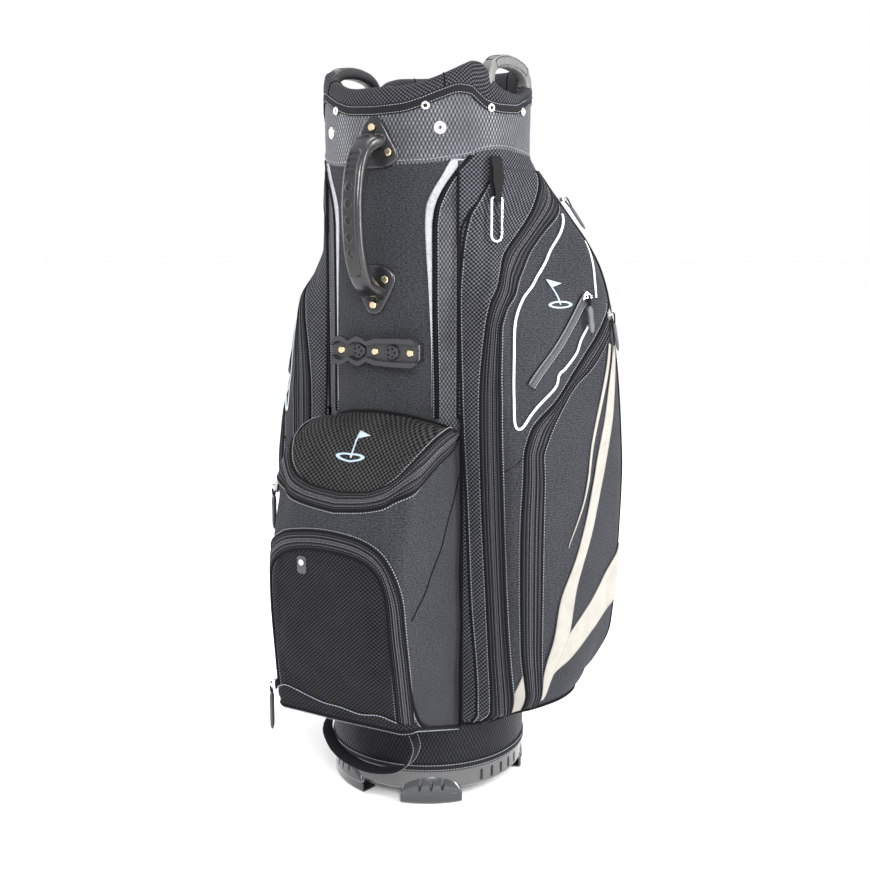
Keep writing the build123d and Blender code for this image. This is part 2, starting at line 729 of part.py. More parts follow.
with BuildPart() as carabiner_gate:
    start = CARA.from_local_coords((7.6, -35.1, 0))
    with BuildSketch(Plane(origin=start, z_dir=(0, 0, 1))):
        Circle(1.5)
    extrude(amount=21.7)
finish(carabiner_gate, "carabiner_gate")

# ---------------------------------------------------------------- webbing handle in front of the boot
with BuildPart() as lower_strap:
    with BuildSketch(fore(-128.5)):
        with BuildLine():
            pts_out = [(-58, 103.4), (-64, 92), (-64, 80), (-54, 62), (-36, 50), (-10, 44), (14, 45), (38, 52), (54, 65), (62, 82), (62, 92), (57, 103.4)]
            pts_in = [(53, 103.4), (58.6, 91), (58.6, 83), (51, 67), (36, 55), (13, 48.4), (-10, 47.4), (-34, 53.2), (-51, 64.6), (-60.4, 81), (-60.4, 91), (-54, 103.4)]
            Polyline(*pts_out, *pts_in, close=True)
        make_face()
    extrude(amount=20)
finish(lower_strap, "lower_strap")
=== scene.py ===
import bpy, bmesh, math
import numpy as np
from mathutils import Vector, Matrix, Quaternion


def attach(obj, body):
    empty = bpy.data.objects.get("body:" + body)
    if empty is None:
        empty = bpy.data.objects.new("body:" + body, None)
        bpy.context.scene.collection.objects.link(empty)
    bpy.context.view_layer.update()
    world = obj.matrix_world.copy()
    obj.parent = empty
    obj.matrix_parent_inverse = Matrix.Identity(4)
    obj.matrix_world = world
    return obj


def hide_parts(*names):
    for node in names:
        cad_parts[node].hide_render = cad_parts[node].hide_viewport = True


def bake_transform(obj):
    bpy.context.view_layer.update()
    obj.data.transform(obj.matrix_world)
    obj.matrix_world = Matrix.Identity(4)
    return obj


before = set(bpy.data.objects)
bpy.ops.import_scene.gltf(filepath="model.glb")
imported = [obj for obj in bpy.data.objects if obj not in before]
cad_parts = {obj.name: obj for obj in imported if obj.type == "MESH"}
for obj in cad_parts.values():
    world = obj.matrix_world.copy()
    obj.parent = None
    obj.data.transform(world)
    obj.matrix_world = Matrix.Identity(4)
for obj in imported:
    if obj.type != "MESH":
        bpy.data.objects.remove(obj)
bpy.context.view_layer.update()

# The bag's own working frame is millimetres on the barrel axis; TY moves it to the row frame.
TY = 49.1

# ------------------------------------------------------------------ camera
cam_data = bpy.data.cameras.new("view")
cam = bpy.data.objects.new("view", cam_data)
bpy.context.scene.collection.objects.link(cam)
bpy.context.scene.camera = cam
cam_data.sensor_width = 36.0
cam_data.lens = 48.37
t = Vector((0.4894, -0.8721, 0.0)); u = Vector((0.8721, 0.4894, 0.0))
yaw, tilt = 0.006, 0.165
fwd = ((-t * math.cos(yaw) + u * math.sin(yaw)) * math.cos(tilt) - Vector((0, 0, 1)) * math.sin(tilt)).normalized()
cam.location = (0.7020, -1.2018, 0.6694)
cam.rotation_mode = "QUATERNION"
cam.rotation_quaternion = (fwd).to_track_quat("-Z", "Y")
cam_data.clip_start, cam_data.clip_end = 0.01, 50

rng = np.random.default_rng(7)

# ------------------------------------------------------------------ numbers
def pchip(x, xs, ys):
    x = np.asarray(x, float); xs = np.asarray(xs, float); ys = np.asarray(ys, float)
    h = np.diff(xs); d = np.diff(ys) / h
    m = np.zeros(len(ys)); m[0] = d[0]; m[-1] = d[-1]
    for i in range(1, len(ys) - 1):
        if d[i - 1] * d[i] > 0:
            w1 = 2 * h[i] + h[i - 1]; w2 = h[i] + 2 * h[i - 1]
            m[i] = (w1 + w2) / (w1 / d[i - 1] + w2 / d[i])
    i = np.clip(np.searchsorted(xs, x, side="right") - 1, 0, len(xs) - 2)
    s = np.clip((x - xs[i]) / h[i], 0, 1)
    return (2*s**3 - 3*s**2 + 1)*ys[i] + (s**3 - 2*s**2 + s)*h[i]*m[i] + (-2*s**3 + 3*s**2)*ys[i+1] + (s**3 - s**2)*h[i]*m[i+1]


def table(pairs):
    p = sorted(pairs)
    xs = [a for a, b in p]; ys = [b for a, b in p]
    return lambda x: pchip(x, xs, ys)


def smoothstep(x, a, b):
    s = np.clip((np.asarray(x, float) - a) / (b - a), 0, 1)
    return s * s * (3 - 2 * s)


def catmull(pts, step):
    """Smooth path through points, at an even step."""
    p = np.asarray(pts, float)
    q = np.vstack([2 * p[0] - p[1], p, 2 * p[-1] - p[-2]])
    out = []
    for i in range(1, len(q) - 2):
        s = np.linspace(0, 1, 24, endpoint=False)[:, None]
        a, b, c, d = q[i - 1], q[i], q[i + 1], q[i + 2]
        out.append(0.5 * (2*b + (-a + c)*s + (2*a - 5*b + 4*c - d)*s*s + (-a + 3*b - 3*c + d)*s**3))
    out.append(p[-1:])
    return even(np.vstack(out), step)


def even(p, step, extra=None):
    d = np.r_[0, np.cumsum(np.linalg.norm(np.diff(p, axis=0), axis=1))]
    n = max(2, int(round(d[-1] / step)) + 1)
    s = np.linspace(0, d[-1], n)
    q = np.column_stack([np.interp(s, d, p[:, k]) for k in range(p.shape[1])])
    return q


def unit(a):
    return a / np.maximum(np.linalg.norm(a, axis=-1, keepdims=True), 1e-9)


def wobble(P, size, seed, n=5):
    """Smooth seeded unevenness between -1 and 1, its bumps about size across."""
    r = np.random.default_rng(seed)
    out = np.zeros(P.shape[:-1])
    for k in range(n):
        d = r.normal(size=3); d /= np.linalg.norm(d)
        out += np.sin(P @ d * (2 * math.pi / size) * r.uniform(0.6, 1.5) + r.uniform(0, 6.28))
    return out / n * 1.4


# ------------------------------------------------------------------ surfaces
class Surf:
    """A surface by two parameters; ref gives the point that its normals face away from."""
    def __init__(self, fn, ref=None, mirror=False):
        self.fn, self.ref = fn, ref

    def at(self, a, b):
        a, b = np.broadcast_arrays(np.asarray(a, float), np.asarray(b, float))
        return self.fn(a, b)

    def nrm(self, a, b, ea=0.02, eb=0.6):
        du = self.at(a + ea, b) - self.at(a - ea, b)
        dv = self.at(a, b + eb) - self.at(a, b - eb)
        n = unit(np.cross(du, dv))
        P = self.at(a, b)
        ref = P * [0, 0, 1.0] if self.ref is None else np.broadcast_to(np.asarray(self.ref, float), P.shape)
        s = np.sign(np.sum(n * (P - ref), -1, keepdims=True)); s[s == 0] = 1
        return n * s


def barrel(r):
    def fn(a, z):
        t = np.radians(a)
        return np.stack([r * np.sin(t), -r * np.cos(t), z], -1)
    s = Surf(fn)
    s.unit = math.radians(1) * r
    return s


PLAN = np.array([(86, -86), (118, -86), (144, -84), (166, -76), (183, -59), (203, -20), (215, 20), (221, 56), (222, 82),
                 (212, 104), (188, 112), (150, 112), (100, 100), (76, 94)], float)
LEVELS = [(99.0, .05, .03), (112.0, .45, .28), (128.0, .85, .58), (152.0, 1.0, .76), (195.0, 1.0, .92), (300.0, 1.0, .98),
          (390.0, 1.0, 1.0), (440.0, .93, .98), (500.0, .78, .94), (556.0, .68, .88), (600.0, .53, .82), (632.0, .22, .74),
          (662.0, .05, .61), (695.0, .02, .41), (730.0, .01, .19), (750.5, .01, .06)]
LZ = [l[0] for l in LEVELS]; LF = [l[1] for l in LEVELS]; LG = [l[2] for l in LEVELS]


def garment_fn(side, lift=0.0):
    def fn(u_, z):
        shp = np.broadcast(u_, z).shape
        uu = np.broadcast_to(u_, shp).ravel().astype(float); zz = np.broadcast_to(z, shp).ravel().astype(float)
        uu = np.clip(uu, 0, 13)
        f = pchip(zz, LZ, LF); g = pchip(zz, LZ, LG)
        K = np.stack([np.ones_like(f), np.minimum(1, 1.6*f), np.minimum(1, 1.25*f), f, f, .85*f + .15*g, .5*f + .5*g] + [g] * 7, 1)
        R = np.hypot(PLAN[:, 0], PLAN[:, 1]); T = PLAN / R[:, None] * 122.6
        C = T[None] + K[:, :, None] * (PLAN - T)[None]
        i = np.clip(np.floor(uu).astype(int), 0, 12); s = (uu - i)[:, None]; k = np.arange(len(uu))
        p0, p1, p2, p3 = C[k, np.clip(i-1, 0, 13)], C[k, i], C[k, i+1], C[k, np.clip(i+2, 0, 13)]
        q = 0.5 * (2*p1 + (-p0 + p2)*s + (2*p0 - 5*p1 + 4*p2 - p3)*s*s + (-p0 + 3*p1 - 3*p2 + p3)*s**3)
        r = np.hypot(q[:, 0], q[:, 1]); q = q * np.maximum(1, 122.6 / r)[:, None]
        # clear of the front pockets' side faces
        near = (q[:, 1] < -84) & (zz < 470)
        q[:, 0] = np.where(near, np.maximum(q[:, 0], 92.6), q[:, 0])
        P = np.column_stack([q[:, 0] * side, q[:, 1], zz])
        return P.reshape(shp + (3,))
    return fn


GR, GL = Surf(garment_fn(1)), Surf(garment_fn(-1))
GR.ref = None


def depth(v):
    return pchip(v, [98, 134, 200, 270, 330, 366, 384, 460], [196, 203, 210, 216, 217.2, 212.5, 208.5, 208.5])


def front_fn(a, v):
    """Front pocket: a runs round it (0 middle, 75-100 corner, 200 at the back), v up it."""
    a, v = np.broadcast_arrays(np.asarray(a, float), np.asarray(v, float))
    r = 16.0; D = depth(v); s = np.abs(a); sg = np.sign(a); sg = np.where(sg == 0, 1, sg)
    th = np.clip((s - 75) / 25, 0, 1) * (math.pi / 2)
    x = np.minimum(s, 75) + r * np.sin(th)
    y = -D + r * (1 - np.cos(th))
    k = np.clip((s - 100) / 100, 0, 1)
    y = y + k * (D - r - 84)
    rec = 11.0 * np.exp(-((s - 82) / 15.0) ** 2) * smoothstep(v, 285, 395)
    x = x - 0.74 * rec; y = y + 0.66 * rec
    x = x - 0.9 * np.clip(s / 40, 0, 1) + 2.2 * np.sin(math.pi * k) * np.sin(math.pi * np.clip((v - 120) / 330, 0, 1))
    y = y - 1.2 * np.cos(math.pi * np.clip(s / 150, 0, 0.5)) ** 2
    low = np.clip((240 - v) / 106, 0, 1); low = low * low * (3 - 2 * low)
    z = v - 36 * k * low
    return np.stack([x * sg, y, z], -1)


FP = Surf(front_fn, ref=(0, -100, 260))

# ------------------------------------------------------------------ mesh builder
class Mesh:
    def __init__(self):
        self.v, self.q, self.quv, self.qm, self.n = [], [], [], [], 0
        self.t, self.tuv, self.tm = [], [], []

    def add(self, P):
        P = np.asarray(P, float).reshape(-1, 3)
        base = self.n; self.v.append(P); self.n += len(P)
        return base

    def grid(self, P, UV=None, mat=0, N=None, wrap=False, keep=None):
        """Quads over a grid of points; wrap closes the first axis."""
        P = np.asarray(P, float); a, b = P.shape[:2]
        if UV is None:
            PP = np.concatenate([P, P[:1]], 0) if wrap else P
            ua = np.cumsum(np.r_[0, np.linalg.norm(np.diff(PP, axis=0), axis=2).mean(1)])
            vb = np.cumsum(np.r_[0, np.linalg.norm(np.diff(P, axis=1), axis=2).mean(0)])
            UV = np.stack(np.meshgrid(ua, vb, indexing="ij"), -1)
        idx = self.add(P) + np.arange(a * b).reshape(a, b)
        if wrap:
            idx = np.vstack([idx, idx[:1]])
        q = np.stack([idx[:-1, :-1], idx[1:, :-1], idx[1:, 1:], idx[:-1, 1:]], -1).reshape(-1, 4)
        w = np.stack([UV[:-1, :-1], UV[1:, :-1], UV[1:, 1:], UV[:-1, 1:]], -2).reshape(-1, 4, 2)
        if N is not None:
            f = np.cross(P[1:, :-1] - P[:-1, :-1], P[:-1, 1:] - P[:-1, :-1])
            if np.sum(f * N[:-1, :-1]) < 0:
                q, w = q[:, ::-1], w[:, ::-1]
        if keep is not None:
            k = keep.reshape(-1); q, w = q[k], w[k]
        self.q.append(q); self.quv.append(w); self.qm.append(np.full(len(q), mat))
        return idx

    def fan(self, ring, centre, mat=0, flip=False):
        c = self.add([centre]); k = len(ring)
        tri = np.stack([np.full(k, c), ring, np.roll(ring, -1)], 1)
        if flip:
            tri = tri[:, ::-1]
        self.t.append(tri); self.tuv.append(np.zeros((k, 3, 2))); self.tm.append(np.full(k, mat))

    def sweep(self, path, nrm, prof, mat=0, closed=False, scale=None, u0=0.0):
        """Closed profile (across, up) swept along a path that lies on a surface with those normals."""
        p = np.asarray(path, float); pr = np.asarray(prof, float)
        if closed:
            tg = unit(np.roll(p, -1, 0) - np.roll(p, 1, 0))
        else:
            tg = unit(np.gradient(p, axis=0))
        n = unit(nrm - np.sum(nrm * tg, -1, keepdims=True) * tg)
        b = np.cross(tg, n)
        sc = np.ones((len(p), 2)) if scale is None else np.asarray(scale, float)
        if sc.ndim == 1:
            sc = np.column_stack([sc, sc])
        R = p[:, None] + b[:, None] * (pr[None, :, :1] * sc[:, None, :1]) + n[:, None] * (pr[None, :, 1:] * sc[:, None, 1:])
        R = R.transpose(1, 0, 2)                      # profile first, so it wraps
        if closed:
            R = np.concatenate([R, R[:, :1]], 1)
        k = len(pr)
        al = np.r_[0, np.cumsum(np.linalg.norm(np.diff(R[0], axis=0), axis=1))] + u0
        pe = np.r_[0, np.cumsum(np.linalg.norm(np.diff(np.vstack([pr, pr[:1]]), axis=0), axis=1))]
        UV = np.stack([np.broadcast_to(al[None], (k + 1, R.shape[1])), np.broadcast_to(pe[:, None], (k + 1, R.shape[1]))], -1)
        idx = self.grid(R, UV, mat, wrap=True)
        if not closed:
            self.fan(idx[:-1, 0], R[:, 0].mean(0), mat)
            self.fan(idx[:-1, -1], R[:, -1].mean(0), mat, True)

    def pill(self, path, nrm, r, mat=0, closed=False, sides=8, up=0.0, scale=None):
        a = np.linspace(0, 2 * math.pi, sides, endpoint=False)
        self.sweep(path + nrm * up, nrm, np.column_stack([r * np.cos(a), r * np.sin(a)]), mat, closed, scale)

    def stitches(self, path, nrm, off=0.0, up=0.45, pitch=3.6, length=2.2, r=0.48, mat=0):
        """Thread between needle holes, each stitch its own small bow."""
        tg = unit(np.gradient(path, axis=0)); b = np.cross(tg, unit(nrm))
        p = path + b * off
        d = np.r_[0, np.cumsum(np.linalg.norm(np.diff(p, axis=0), axis=1))]
        if d[-1] < pitch:
            return
        s0 = np.arange(pitch * 0.3, d[-1] - length, pitch)
        f = np.array([0, .18, .5, .82, 1.0]); lift = np.array([-.2, .75, 1, .75, -.2]); rr = np.array([.5, 1, 1.05, 1, .5])
        S = s0[:, None] + f[None] * length
        C = np.stack([np.interp(S, d, p[:, k]) for k in range(3)], -1)
        Nn = unit(np.stack([np.interp(S, d, nrm[:, k]) for k in range(3)], -1))
        T = unit(np.stack([np.interp(S, d, tg[:, k]) for k in range(3)], -1)); B = np.cross(T, Nn)
        C = C + Nn * (up * lift)[None, :, None]
        k = 5; a = np.linspace(0, 2 * math.pi, k, endpoint=False)
        ring = C[:, :, None] + (B[:, :, None] * np.cos(a)[None, None, :, None] * 1.15 + Nn[:, :, None] * np.sin(a)[None, None, :, None]) * (r * rr)[None, :, None, None]
        m, st = ring.shape[0], ring.shape[1]
        base = self.add(ring.reshape(-1, 3))
        idx = base + np.arange(m * st * k).reshape(m, st, k)
        i2 = np.concatenate([idx, idx[:, :, :1]], 2)
        q = np.stack([i2[:, :-1, :-1], i2[:, :-1, 1:], i2[:, 1:, 1:], i2[:, 1:, :-1]], -1).reshape(-1, 4)
        self.q.append(q); self.quv.append(np.zeros((len(q), 4, 2))); self.qm.append(np.full(len(q), mat))
        for e, fl in ((0, False), (-1, True)):
            R = idx[:, e]
            for a0, a1, a2 in ((0, 1, 2), (0, 2, 3), (0, 3, 4)):
                tri = np.stack([R[:, a0], R[:, a1], R[:, a2]], 1)
                if not fl:
                    tri = tri[:, ::-1]
                self.t.append(tri); self.tuv.append(np.zeros((m, 3, 2))); self.tm.append(np.full(m, mat))

    def make(self, name, mats, body, slot=None, replaces=(), thick=None, offset=-1.0, padded=None, recalc=False, bevel=None,
             smooth=True, even_thick=False, sim=None):
        V = np.vstack(self.v); V = np.column_stack([V[:, 0], V[:, 1] + TY, V[:, 2]]) / 1000.0
        me = bpy.data.meshes.new(name)
        loops, starts, totals, uvs, mi = [], [], [], [], []
        n = 0
        for faces, uv, m, k in ([(f, w, m, 4) for f, w, m in zip(self.q, self.quv, self.qm)] + [(f, w, m, 3) for f, w, m in zip(self.t, self.tuv, self.tm)]):
            loops.append(faces.reshape(-1)); uvs.append(uv.reshape(-1, 2)); mi.append(m)
            starts.append(n + np.arange(len(faces)) * k); totals.append(np.full(len(faces), k)); n += faces.size
        loops = np.concatenate(loops); starts = np.concatenate(starts); totals = np.concatenate(totals)
        me.vertices.add(len(V)); me.vertices.foreach_set("co", V.astype(np.float32).ravel())
        me.loops.add(len(loops)); me.loops.foreach_set("vertex_index", loops.astype(np.int32))
        me.polygons.add(len(starts)); me.polygons.foreach_set("loop_start", starts.astype(np.int32))
        me.polygons.foreach_set("loop_total", totals.astype(np.int32))
        me.polygons.foreach_set("material_index", np.concatenate(mi).astype(np.int32))
        me.polygons.foreach_set("use_smooth", np.full(len(starts), smooth))
        lay = me.uv_layers.new(name="UVMap"); lay.data.foreach_set("uv", np.concatenate(uvs).astype(np.float32).ravel())
        me.update(calc_edges=True); me.validate()
        # points that no face uses go
        bm = bmesh.new(); bm.from_mesh(me)
        loose = [v for v in bm.verts if not v.link_faces]
        if loose:
            bmesh.ops.delete(bm, geom=loose, context="VERTS")
        if recalc:
            bmesh.ops.recalc_face_normals(bm, faces=bm.faces)
        bm.to_mesh(me); bm.free()
        ob = bpy.data.objects.new(name, me)
        bpy.context.scene.collection.objects.link(ob)
        for m in (mats if isinstance(mats, (list, tuple)) else [mats]):
            me.materials.append(m)
        self.moved = puff(ob, *sim) if sim else None
        if thick:
            s = ob.modifiers.new("cloth", "SOLIDIFY"); s.thickness = thick / 1000.0; s.offset = offset
            s.use_rim = True; s.use_even_offset = even_thick
        if isinstance(body, tuple):
            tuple(body[2])
            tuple(body[3])
            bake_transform(ob)
        else:
            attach(ob, body)
        if replaces:
            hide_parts(*replaces)
        return ob


def puff(ob, pin, pressure, cap, slack=0.012, frames=20):
    """Cloth simulation on an open panel: pinned where pin is 1, swelling under pressure with a little slack.
    The result is applied to the mesh; the return value is how far each point moved, in mm."""
    n = len(ob.data.vertices); V0 = np.empty(n * 3); ob.data.vertices.foreach_get("co", V0); V0 = V0.reshape(-1, 3)
    pin = np.asarray(pin, float).ravel()
    if len(pin) != n:
        return np.zeros((n, 3))
    g = ob.vertex_groups.new(name="pin")
    for w_ in np.unique(np.round(pin, 2)):
        if w_ > 0:
            g.add([int(i) for i in np.where(np.round(pin, 2) == w_)[0]], float(w_), "REPLACE")
    md = ob.modifiers.new("cloth_sim", "CLOTH"); st_ = md.settings
    st_.quality = 5; st_.mass = 0.25; st_.vertex_group_mass = "pin"; st_.pin_stiffness = 1.0
    st_.tension_stiffness = 12; st_.compression_stiffness = 6; st_.shear_stiffness = 4; st_.bending_stiffness = 0.25
    st_.tension_damping = 8; st_.compression_damping = 8; st_.shear_damping = 8; st_.air_damping = 3
    st_.use_pressure = True; st_.uniform_pressure_force = pressure; st_.shrink_min = -slack; st_.effector_weights.gravity = 0.0
    md.collision_settings.use_collision = False; md.collision_settings.use_self_collision = False
    md.point_cache.frame_start = 1; md.point_cache.frame_end = frames
    for f in range(1, frames + 1):
        bpy.context.scene.frame_set(f)
    ev = ob.evaluated_get(bpy.context.evaluated_depsgraph_get()); V1 = np.empty(n * 3)
    ok = len(ev.data.vertices) == n
    if ok:
        ev.data.vertices.foreach_get("co", V1)
    ob.modifiers.remove(md); ob.vertex_groups.remove(g); bpy.context.scene.frame_set(1)
    V1 = V1.reshape(-1, 3)
    if not ok or not np.isfinite(V1).all():
        return np.zeros((n, 3))
    D = V1 - V0; L = np.linalg.norm(D, axis=1, keepdims=True)
    D = D * np.minimum(1.0, cap / 1000.0 / np.maximum(L, 1e-9)) * (1 - pin)[:, None]
    ob.data.vertices.foreach_set("co", (V0 + D).ravel()); ob.data.update()
    print("PUFF", ob.name, "moved", round(float(np.linalg.norm(D, axis=1).max() * 1000), 2), "mm, mean", round(float(np.linalg.norm(D, axis=1).mean() * 1000), 2))
    return D * 1000.0


def rrect(w, h, r, k=3, cy=0.0):
    """Rounded rectangle profile."""
    out = []
    for cx, cz, a0 in ((w/2 - r, h/2 - r, 0), (-w/2 + r, h/2 - r, 90), (-w/2 + r, -h/2 + r, 180), (w/2 - r, -h/2 + r, 270)):
        for i in range(k + 1):
            t_ = math.radians(a0 + 90 * i / k)
            out.append((cx + r * math.cos(t_), cy + cz + r * math.sin(t_)))
    return out


def on(surf, pts, step=2.5, smooth=True, mirror=False):
    """Path over a surface through points in its own two parameters."""
    p = np.asarray(pts, float)
    if smooth and len(p) > 2:
        sc = np.array([1.0, 1.0])
        d = catmull_raw(p)
    else:
        d = np.vstack([p[i] + (p[i+1] - p[i]) * s for i in range(len(p) - 1) for s in np.linspace(0, 1, 30, endpoint=False)[:, None, None].reshape(-1, 1)] + [p[-1]])
    P = surf.at(d[:, 0], d[:, 1])
    L = np.r_[0, np.cumsum(np.linalg.norm(np.diff(P, axis=0), axis=1))]
    n = max(3, int(round(L[-1] / step)) + 1); s = np.linspace(0, L[-1], n)
    ab = np.column_stack([np.interp(s, L, d[:, 0]), np.interp(s, L, d[:, 1])])
    return surf.at(ab[:, 0], ab[:, 1]), surf.nrm(ab[:, 0], ab[:, 1]), ab


def catmull_raw(p):
    q = np.vstack([2 * p[0] - p[1], p, 2 * p[-1] - p[-2]])
    out = []
    for i in range(1, len(q) - 2):
        s = np.linspace(0, 1, 24, endpoint=False)[:, None]
        a, b, c, d = q[i - 1], q[i], q[i + 1], q[i + 2]
        out.append(0.5 * (2*b + (-a + c)*s + (2*a - 5*b + 4*c - d)*s*s + (-a + 3*b - 3*c + d)*s**3))
    out.append(p[-1:])
    return np.vstack(out)

# ------------------------------------------------------------------ materials
class Nodes:
    """A material built node by node. Patterns read the UV map, which is in millimetres."""
    def __init__(self, name, color=(0.05, 0.05, 0.05), rough=0.6, metal=0.0, spec=0.5, coat=0.0, coat_rough=0.1, sheen=0.0, sheen_rough=0.5):
        self.m = bpy.data.materials.new(name); self.m.use_nodes = True
        self.t = self.m.node_tree; self.b = self.t.nodes["Principled BSDF"]
        self.set("Base Color", (*color, 1)); self.set("Roughness", rough); self.set("Metallic", metal)
        self.set("Specular IOR Level", spec); self.set("Coat Weight", coat); self.set("Coat Roughness", coat_rough)
        self.set("Sheen Weight", sheen); self.set("Sheen Roughness", sheen_rough)
        self._uv = self._obj = None

    def set(self, key, val):
        self.b.inputs[key].default_value = val

    def node(self, kind, **kw):
        n = self.t.nodes.new(kind)
        for k, v in kw.items():
            setattr(n, k, v)
        return n

    def put(self, sock, v):
        if isinstance(v, bpy.types.NodeSocket):
            self.t.links.new(v, sock)
        else:
            sock.default_value = v

    def math(self, op, a, b=None, c=None, clamp=False):
        n = self.node("ShaderNodeMath", operation=op, use_clamp=clamp)
        self.put(n.inputs[0], a)
        if b is not None:
            self.put(n.inputs[1], b)
        if c is not None:
            self.put(n.inputs[2], c)
        return n.outputs[0]

    def uv(self):
        if self._uv is None:
            n = self.node("ShaderNodeUVMap", uv_map="UVMap")
            s = self.node("ShaderNodeSeparateXYZ"); self.t.links.new(n.outputs[0], s.inputs[0])
            self._uv = (s.outputs[0], s.outputs[1], n.outputs[0])
        return self._uv

    def obj(self):
        if self._obj is None:
            self._obj = self.node("ShaderNodeTexCoord").outputs["Object"]
        return self._obj

    def noise(self, scale, detail=3.0, rough=0.5, vec=None, stretch=None, distort=0.0):
        vec = self.obj() if vec is None else vec
        if stretch is not None:
            mp = self.node("ShaderNodeMapping"); self.t.links.new(vec, mp.inputs[0]); mp.inputs["Scale"].default_value = stretch; vec = mp.outputs[0]
        n = self.node("ShaderNodeTexNoise"); self.t.links.new(vec, n.inputs["Vector"])
        n.inputs["Scale"].default_value = scale; n.inputs["Detail"].default_value = detail
        n.inputs["Roughness"].default_value = rough; n.inputs["Distortion"].default_value = distort
        return n.outputs[0]

    def ramp(self, fac, stops):
        n = self.node("ShaderNodeValToRGB"); self.t.links.new(fac, n.inputs[0])
        e = n.color_ramp.elements
        while len(e) < len(stops):
            e.new(0.5)
        for k, (p, c) in enumerate(stops):
            e[k].position = p; e[k].color = (*c, 1) if len(c) == 3 else c
        return n.outputs[0]

    def remap(self, fac, a0, a1, b0, b1):
        n = self.node("ShaderNodeMapRange"); self.t.links.new(fac, n.inputs[0])
        for k, v in zip((1, 2, 3, 4), (a0, a1, b0, b1)):
            n.inputs[k].default_value = v
        return n.outputs[0]

    def mix(self, fac, a, b):
        n = self.node("ShaderNodeMix", data_type="RGBA")
        self.put(n.inputs[0], fac)
        self.put(n.inputs[6], (*a, 1) if isinstance(a, tuple) else a); self.put(n.inputs[7], (*b, 1) if isinstance(b, tuple) else b)
        return n.outputs[2]

    def color(self, s):
        self.t.links.new(s, self.b.inputs["Base Color"])

    def rough(self, s):
        self.t.links.new(s, self.b.inputs["Roughness"])

    def bump(self, h, dist=0.3, strength=1.0):
        """Height in millimetres at 1; several calls stack."""
        n = self.node("ShaderNodeBump"); self.t.links.new(h, n.inputs["Height"])
        n.inputs["Distance"].default_value = dist / 1000.0; n.inputs["Strength"].default_value = strength
        old = self.b.inputs["Normal"].links
        if old:
            self.t.links.new(old[0].from_socket, n.inputs["Normal"])
        self.t.links.new(n.outputs[0], self.b.inputs["Normal"])

    # patterns, each 0 to 1
    def wave(self, x, pitch, phase=0.0):
        """Cosine along x: 1 at multiples of the pitch."""
        return self.math("MULTIPLY_ADD", self.math("COSINE", self.math("MULTIPLY_ADD", x, 2 * math.pi / pitch, phase)), 0.5, 0.5)

    def lattice(self, a, b):
        """Staggered bumps, a apart along u and b apart along v."""
        x, y, _ = self.uv()
        return self.math("MULTIPLY_ADD", self.math("MULTIPLY", self.math("COSINE", self.math("MULTIPLY", x, 2 * math.pi / a)),
                         self.math("COSINE", self.math("MULTIPLY", y, 2 * math.pi / b))), 0.5, 0.5)


def mat_woven(name, dark, light, rib=3.1):
    """Woven polyester: fine yarn with a faint rib across, its rib grooves darkened as painted shade."""
    n = Nodes(name, dark, 0.78, spec=0.07, sheen=0.02, sheen_rough=0.4)
    x, y, vec = n.uv()
    yarn = n.math("MULTIPLY_ADD", n.math("MULTIPLY", n.math("SINE", n.math("MULTIPLY", x, 2 * math.pi / 1.15)), n.math("SINE", n.math("MULTIPLY", y, 2 * math.pi / 1.0))), 0.5, 0.5)
    ribs = n.math("POWER", n.wave(y, rib), 5.0)
    dashes = n.math("MULTIPLY", ribs, n.remap(n.noise(0.55, 2, 0.6, vec, (1, 0.16, 1)), 0.3, 0.75, 0.25, 1.0))
    cloud = n.noise(0.022, 4, 0.55, vec)
    fuzz = n.noise(1.6, 2, 0.7, vec)
    c = n.mix(n.remap(cloud, 0.3, 0.7, 0.0, 1.0), dark, light)
    # painted shade: the dashes along the rib grooves are painted near-black
    c = n.mix(n.math("MULTIPLY", dashes, 0.9), c, tuple(0.12 * k for k in dark))
    c = n.mix(n.math("MULTIPLY", yarn, 0.45), c, tuple(2.0 * k for k in light))
    c = n.mix(n.remap(fuzz, 0.55, 0.75, 0.0, 0.7), c, tuple(2.3 * k for k in light))
    heather = n.noise(0.36, 3, 0.8, vec, (1, 2.4, 1))
    c = n.mix(n.remap(heather, 0.52, 0.68, 0.0, 0.9), c, tuple(2.3 * k for k in light))
    c = n.mix(n.remap(heather, 0.50, 0.34, 0.0, 0.95), c, tuple(0.15 * k for k in dark))
    n.color(c)
    n.rough(n.remap(fuzz, 0.2, 0.8, 0.62, 0.9))
    n.bump(yarn, 0.22, 0.8); n.bump(n.math("SUBTRACT", 1.0, dashes), 0.35, 0.7); n.bump(n.noise(0.05, 3, 0.5, vec), 1.1, 0.5)
    return n.m


